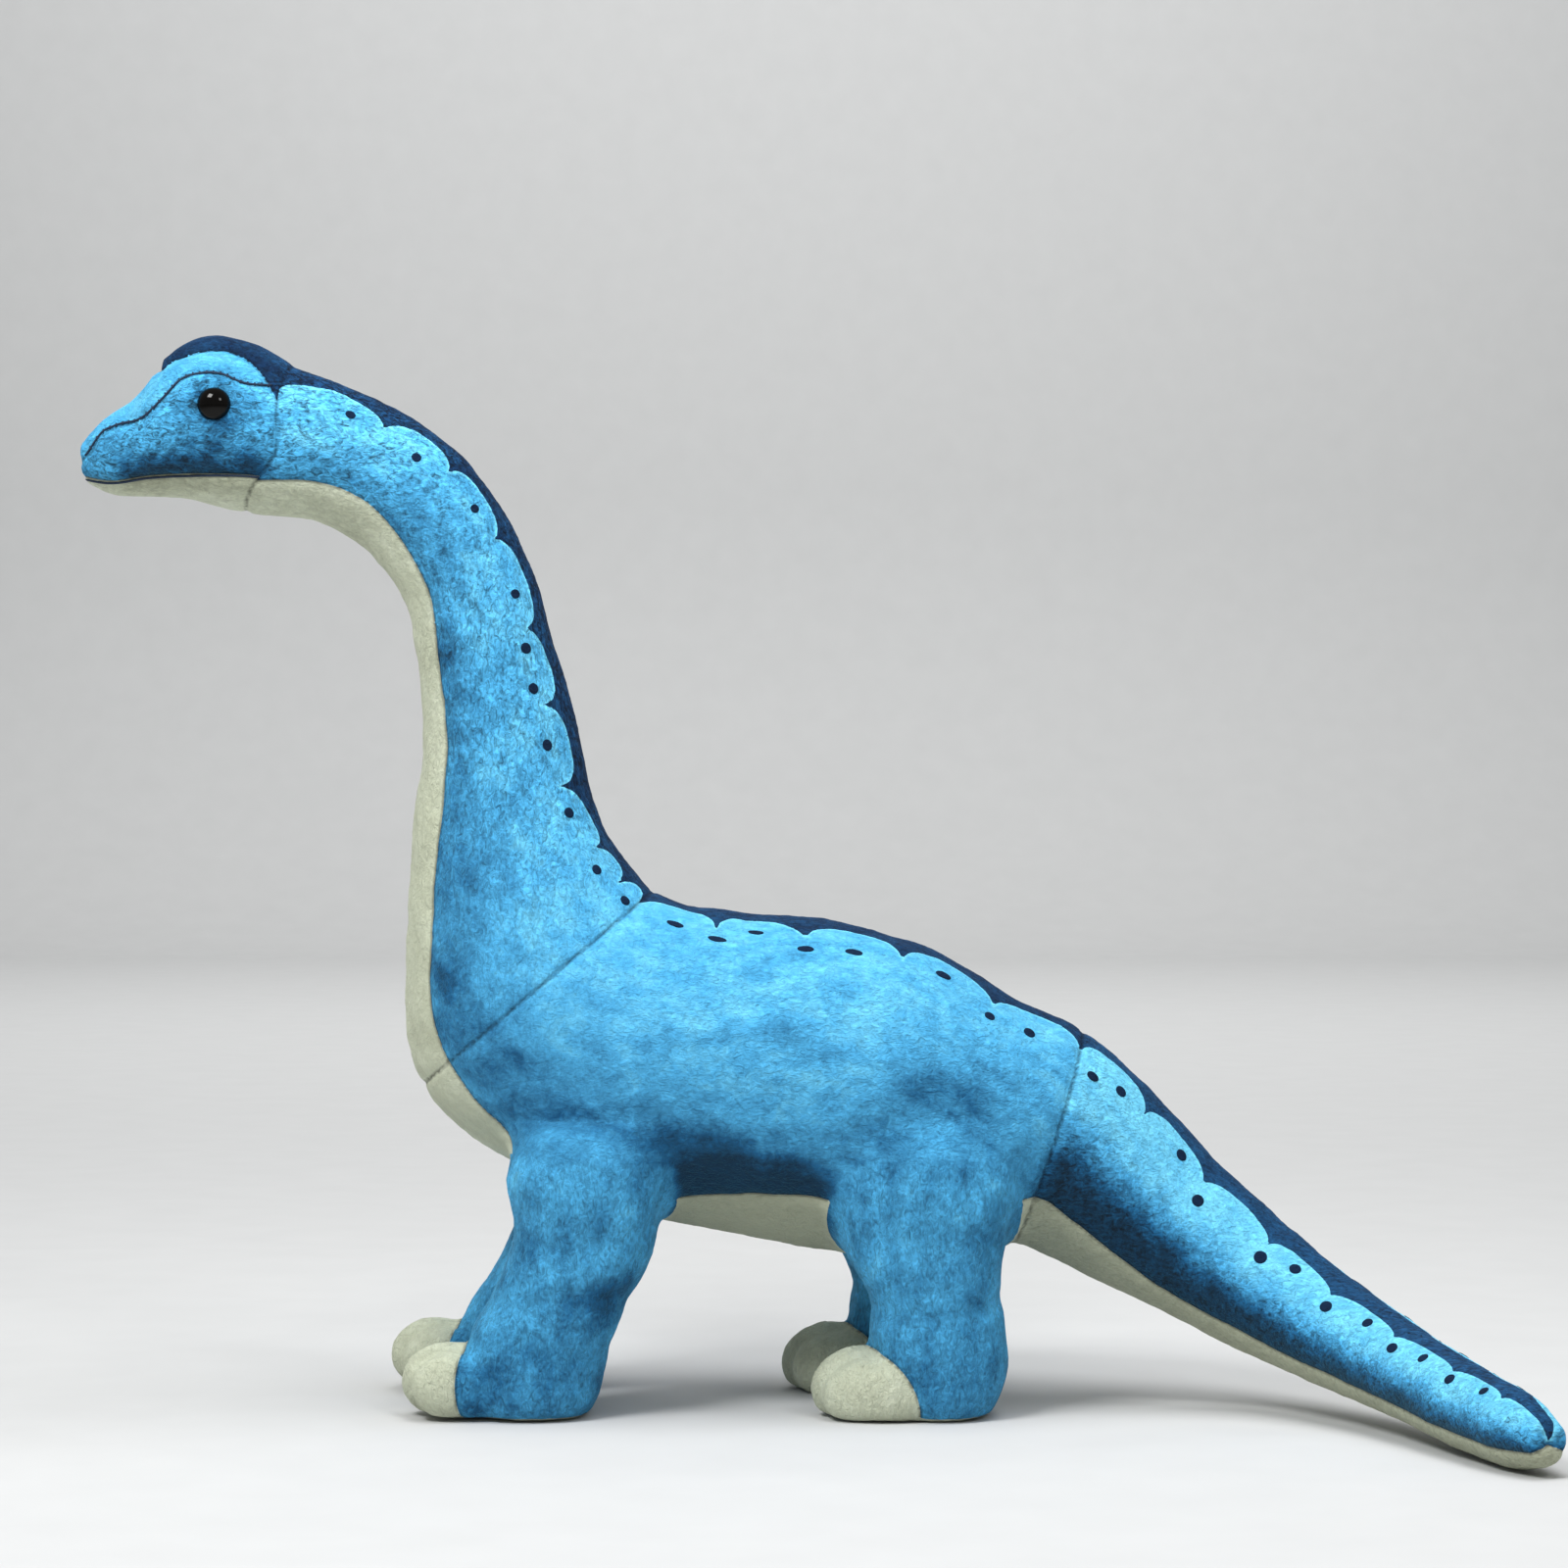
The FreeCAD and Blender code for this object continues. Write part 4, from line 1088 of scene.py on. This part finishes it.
def thread_tube(points, closed_points, closed_faces, half):
    """Adds one round thread through points to the lists."""
    route = [Vector(p) for p in points]
    base = len(closed_points)
    around = 6
    for i, p in enumerate(route):
        ahead = (route[min(i + 1, len(route) - 1)] - route[max(i - 1, 0)]).normalized()
        across = ahead.cross(Vector((0.3, 0.2, 1))).normalized()
        other = ahead.cross(across)
        for k in range(around):
            turn = 2 * math.pi * k / around
            offset = across * math.cos(turn) + other * math.sin(turn)
            closed_points.append(tuple(p + offset * (half * mm)))
    for i in range(len(route) - 1):
        for k in range(around):
            after = (k + 1) % around
            low_row, high_row = base + i * around, base + (i + 1) * around
            closed_faces.append((low_row + k, high_row + k, high_row + after, low_row + after))
    last = base + (len(route) - 1) * around
    closed_faces.append(tuple(base + k for k in range(around)))
    closed_faces.append(tuple(last + k for k in reversed(range(around))))


def on_face(x_at, z_at, sign, rise):
    """The point of the head's side at x and height, raised off the cloth."""
    start = Vector((x_at * mm, (middle_y + sign * 80) * mm, z_at * mm))
    found, normal, _, _ = skin_tree.ray_cast(start, Vector((0, -sign, 0)))
    if found is None:
        found, normal, _, _ = skin_tree.find_nearest(Vector((x_at * mm, middle_y * mm, z_at * mm)))
    return found + normal * (rise * mm)


for side in ("left", "right"):
    sign = side_sign[side]
    points, faces = [], []
    for line, first, last in ((brow_line, -250.5, -182.0), (mouth_line, -251.5, -186.0)):
        places = np.arange(first + middle_x, last + middle_x, 1.2)
        heights = line_height(line, places)
        route = [on_face(px, pz, sign, 0.05) for px, pz in zip(places, heights)]
        thread_tube(route, points, faces, thread_half)
        if line is brow_line:
            for i in range(2, len(route) - 1, 2):
                ahead = (route[i + 1] - route[i - 1]).normalized()
                across = Vector((-ahead.z, 0, ahead.x)) * (stitch_reach * mm)
                ends = [route[i] - across, route[i], route[i] + across]
                lifted = []
                for p in ends:
                    foot, up, _, _ = skin_tree.find_nearest(p)
                    lifted.append(foot + up * (stitch_rise * mm))
                thread_tube(lifted, points, faces, stitch_half)
    piece = new_object(f"face_thread_{side}", points, faces)
    piece.data.polygons.foreach_set("use_smooth", [True] * len(faces))
    piece.data.materials.append(thread)
    settle(piece, "head")

# ---------------------------------------------------------------- floor, light and camera
# A plain pale paper sweep under soft studio boxes: key from the front left, one overhead, a
# weak fill from the front right and one on the wall. The toy is seen level from its left.

floor_near, floor_far, floor_half, wall_high = -12.0, 4.2, 9.0, 3.6
sweep_bend = 0.6
sweep = [(floor_near, 0.0), (floor_far - sweep_bend, 0.0)]
for step_angle in range(10, 91, 10):
    turn = math.radians(step_angle)
    sweep.append((floor_far - sweep_bend + sweep_bend * math.sin(turn),
                  sweep_bend - sweep_bend * math.cos(turn)))
sweep.append((floor_far, wall_high))
points = [(sign * floor_half, py, pz) for py, pz in sweep for sign in (-1, 1)]
faces = [(2 * i, 2 * i + 1, 2 * i + 3, 2 * i + 2) for i in range(len(sweep) - 1)]
floor = new_object("studio_floor", points, faces)
floor.data.polygons.foreach_set("use_smooth", [True] * len(faces))
# Matt seamless paper: even and very slightly fibrous.
paper, tree, shader = new_material("seamless_background_paper")
place = add_node(tree, "ShaderNodeTexCoord").outputs["Object"]
fibres = add_node(tree, "ShaderNodeTexNoise", {"Scale": 30.0, "Detail": 3.0}, Vector=place)
sheet = add_node(tree, "ShaderNodeMix", {"data_type": "RGBA"}, Factor=fibres.outputs["Fac"])
sheet.inputs[6].default_value = srgb("#c2c3c3")
sheet.inputs[7].default_value = srgb("#c8c9c9")
tree.links.new(sheet.outputs[2], shader.inputs["Base Color"])
shader.inputs["Roughness"].default_value = 0.9
floor.data.materials.append(paper)


def softbox(name, place, aim, size, power, tint):
    """A square studio light that points at the toy."""
    data = bpy.data.lights.new(name, "AREA")
    data.shape = "SQUARE"
    data.size = size
    data.energy = power
    data.color = srgb(tint)[:3]
    lamp = bpy.data.objects.new(name, data)
    bpy.context.scene.collection.objects.link(lamp)
    lamp.location = place
    lamp.rotation_mode = "QUATERNION"
    lamp.rotation_quaternion = (Vector(aim) - Vector(place)).to_track_quat("-Z", "Y")
    return lamp


softbox("key_box", (-0.6, -0.7, 1.25), (0, 0.03, 0.18), 0.45, 15.0, "#ffffff")
top_box = softbox("top_box", (0.2, -0.05, 1.5), (0, 0.05, 0.1), 0.9, 18.0, "#ffffff")
# The top box is flagged off from the gloss of the eyes, which mirror the key and fill boxes.
top_box.visible_glossy = False
softbox("wall_box", (0, 1.9, 2.6), (0, 4.2, 0.5), 1.8, 75.0, "#ffffff")
softbox("fill_box", (0.7, -1.1, 1.1), (0, 0.05, 0.15), 0.35, 4.0, "#ffffff")
world = bpy.data.worlds.new("studio_air")
world.use_nodes = True
world.node_tree.nodes["Background"].inputs["Color"].default_value = srgb("#ffffff")
world.node_tree.nodes["Background"].inputs["Strength"].default_value = 0.26
bpy.context.scene.world = world
bpy.context.scene.view_settings.view_transform = "Standard"

camera_data = bpy.data.cameras.new("camera")
camera_data.sensor_width = 36.0
camera_data.lens = 95.61
camera_data.clip_end = 20.0
camera_data.shift_y = -0.0075
camera = bpy.data.objects.new("camera", camera_data)
bpy.context.scene.collection.objects.link(camera)
camera_away = 1500
camera.location = (middle_x * mm, (middle_y - camera_away) * mm, 0.2266)
camera.rotation_euler = (math.pi / 2, 0, 0)
bpy.context.scene.camera = camera
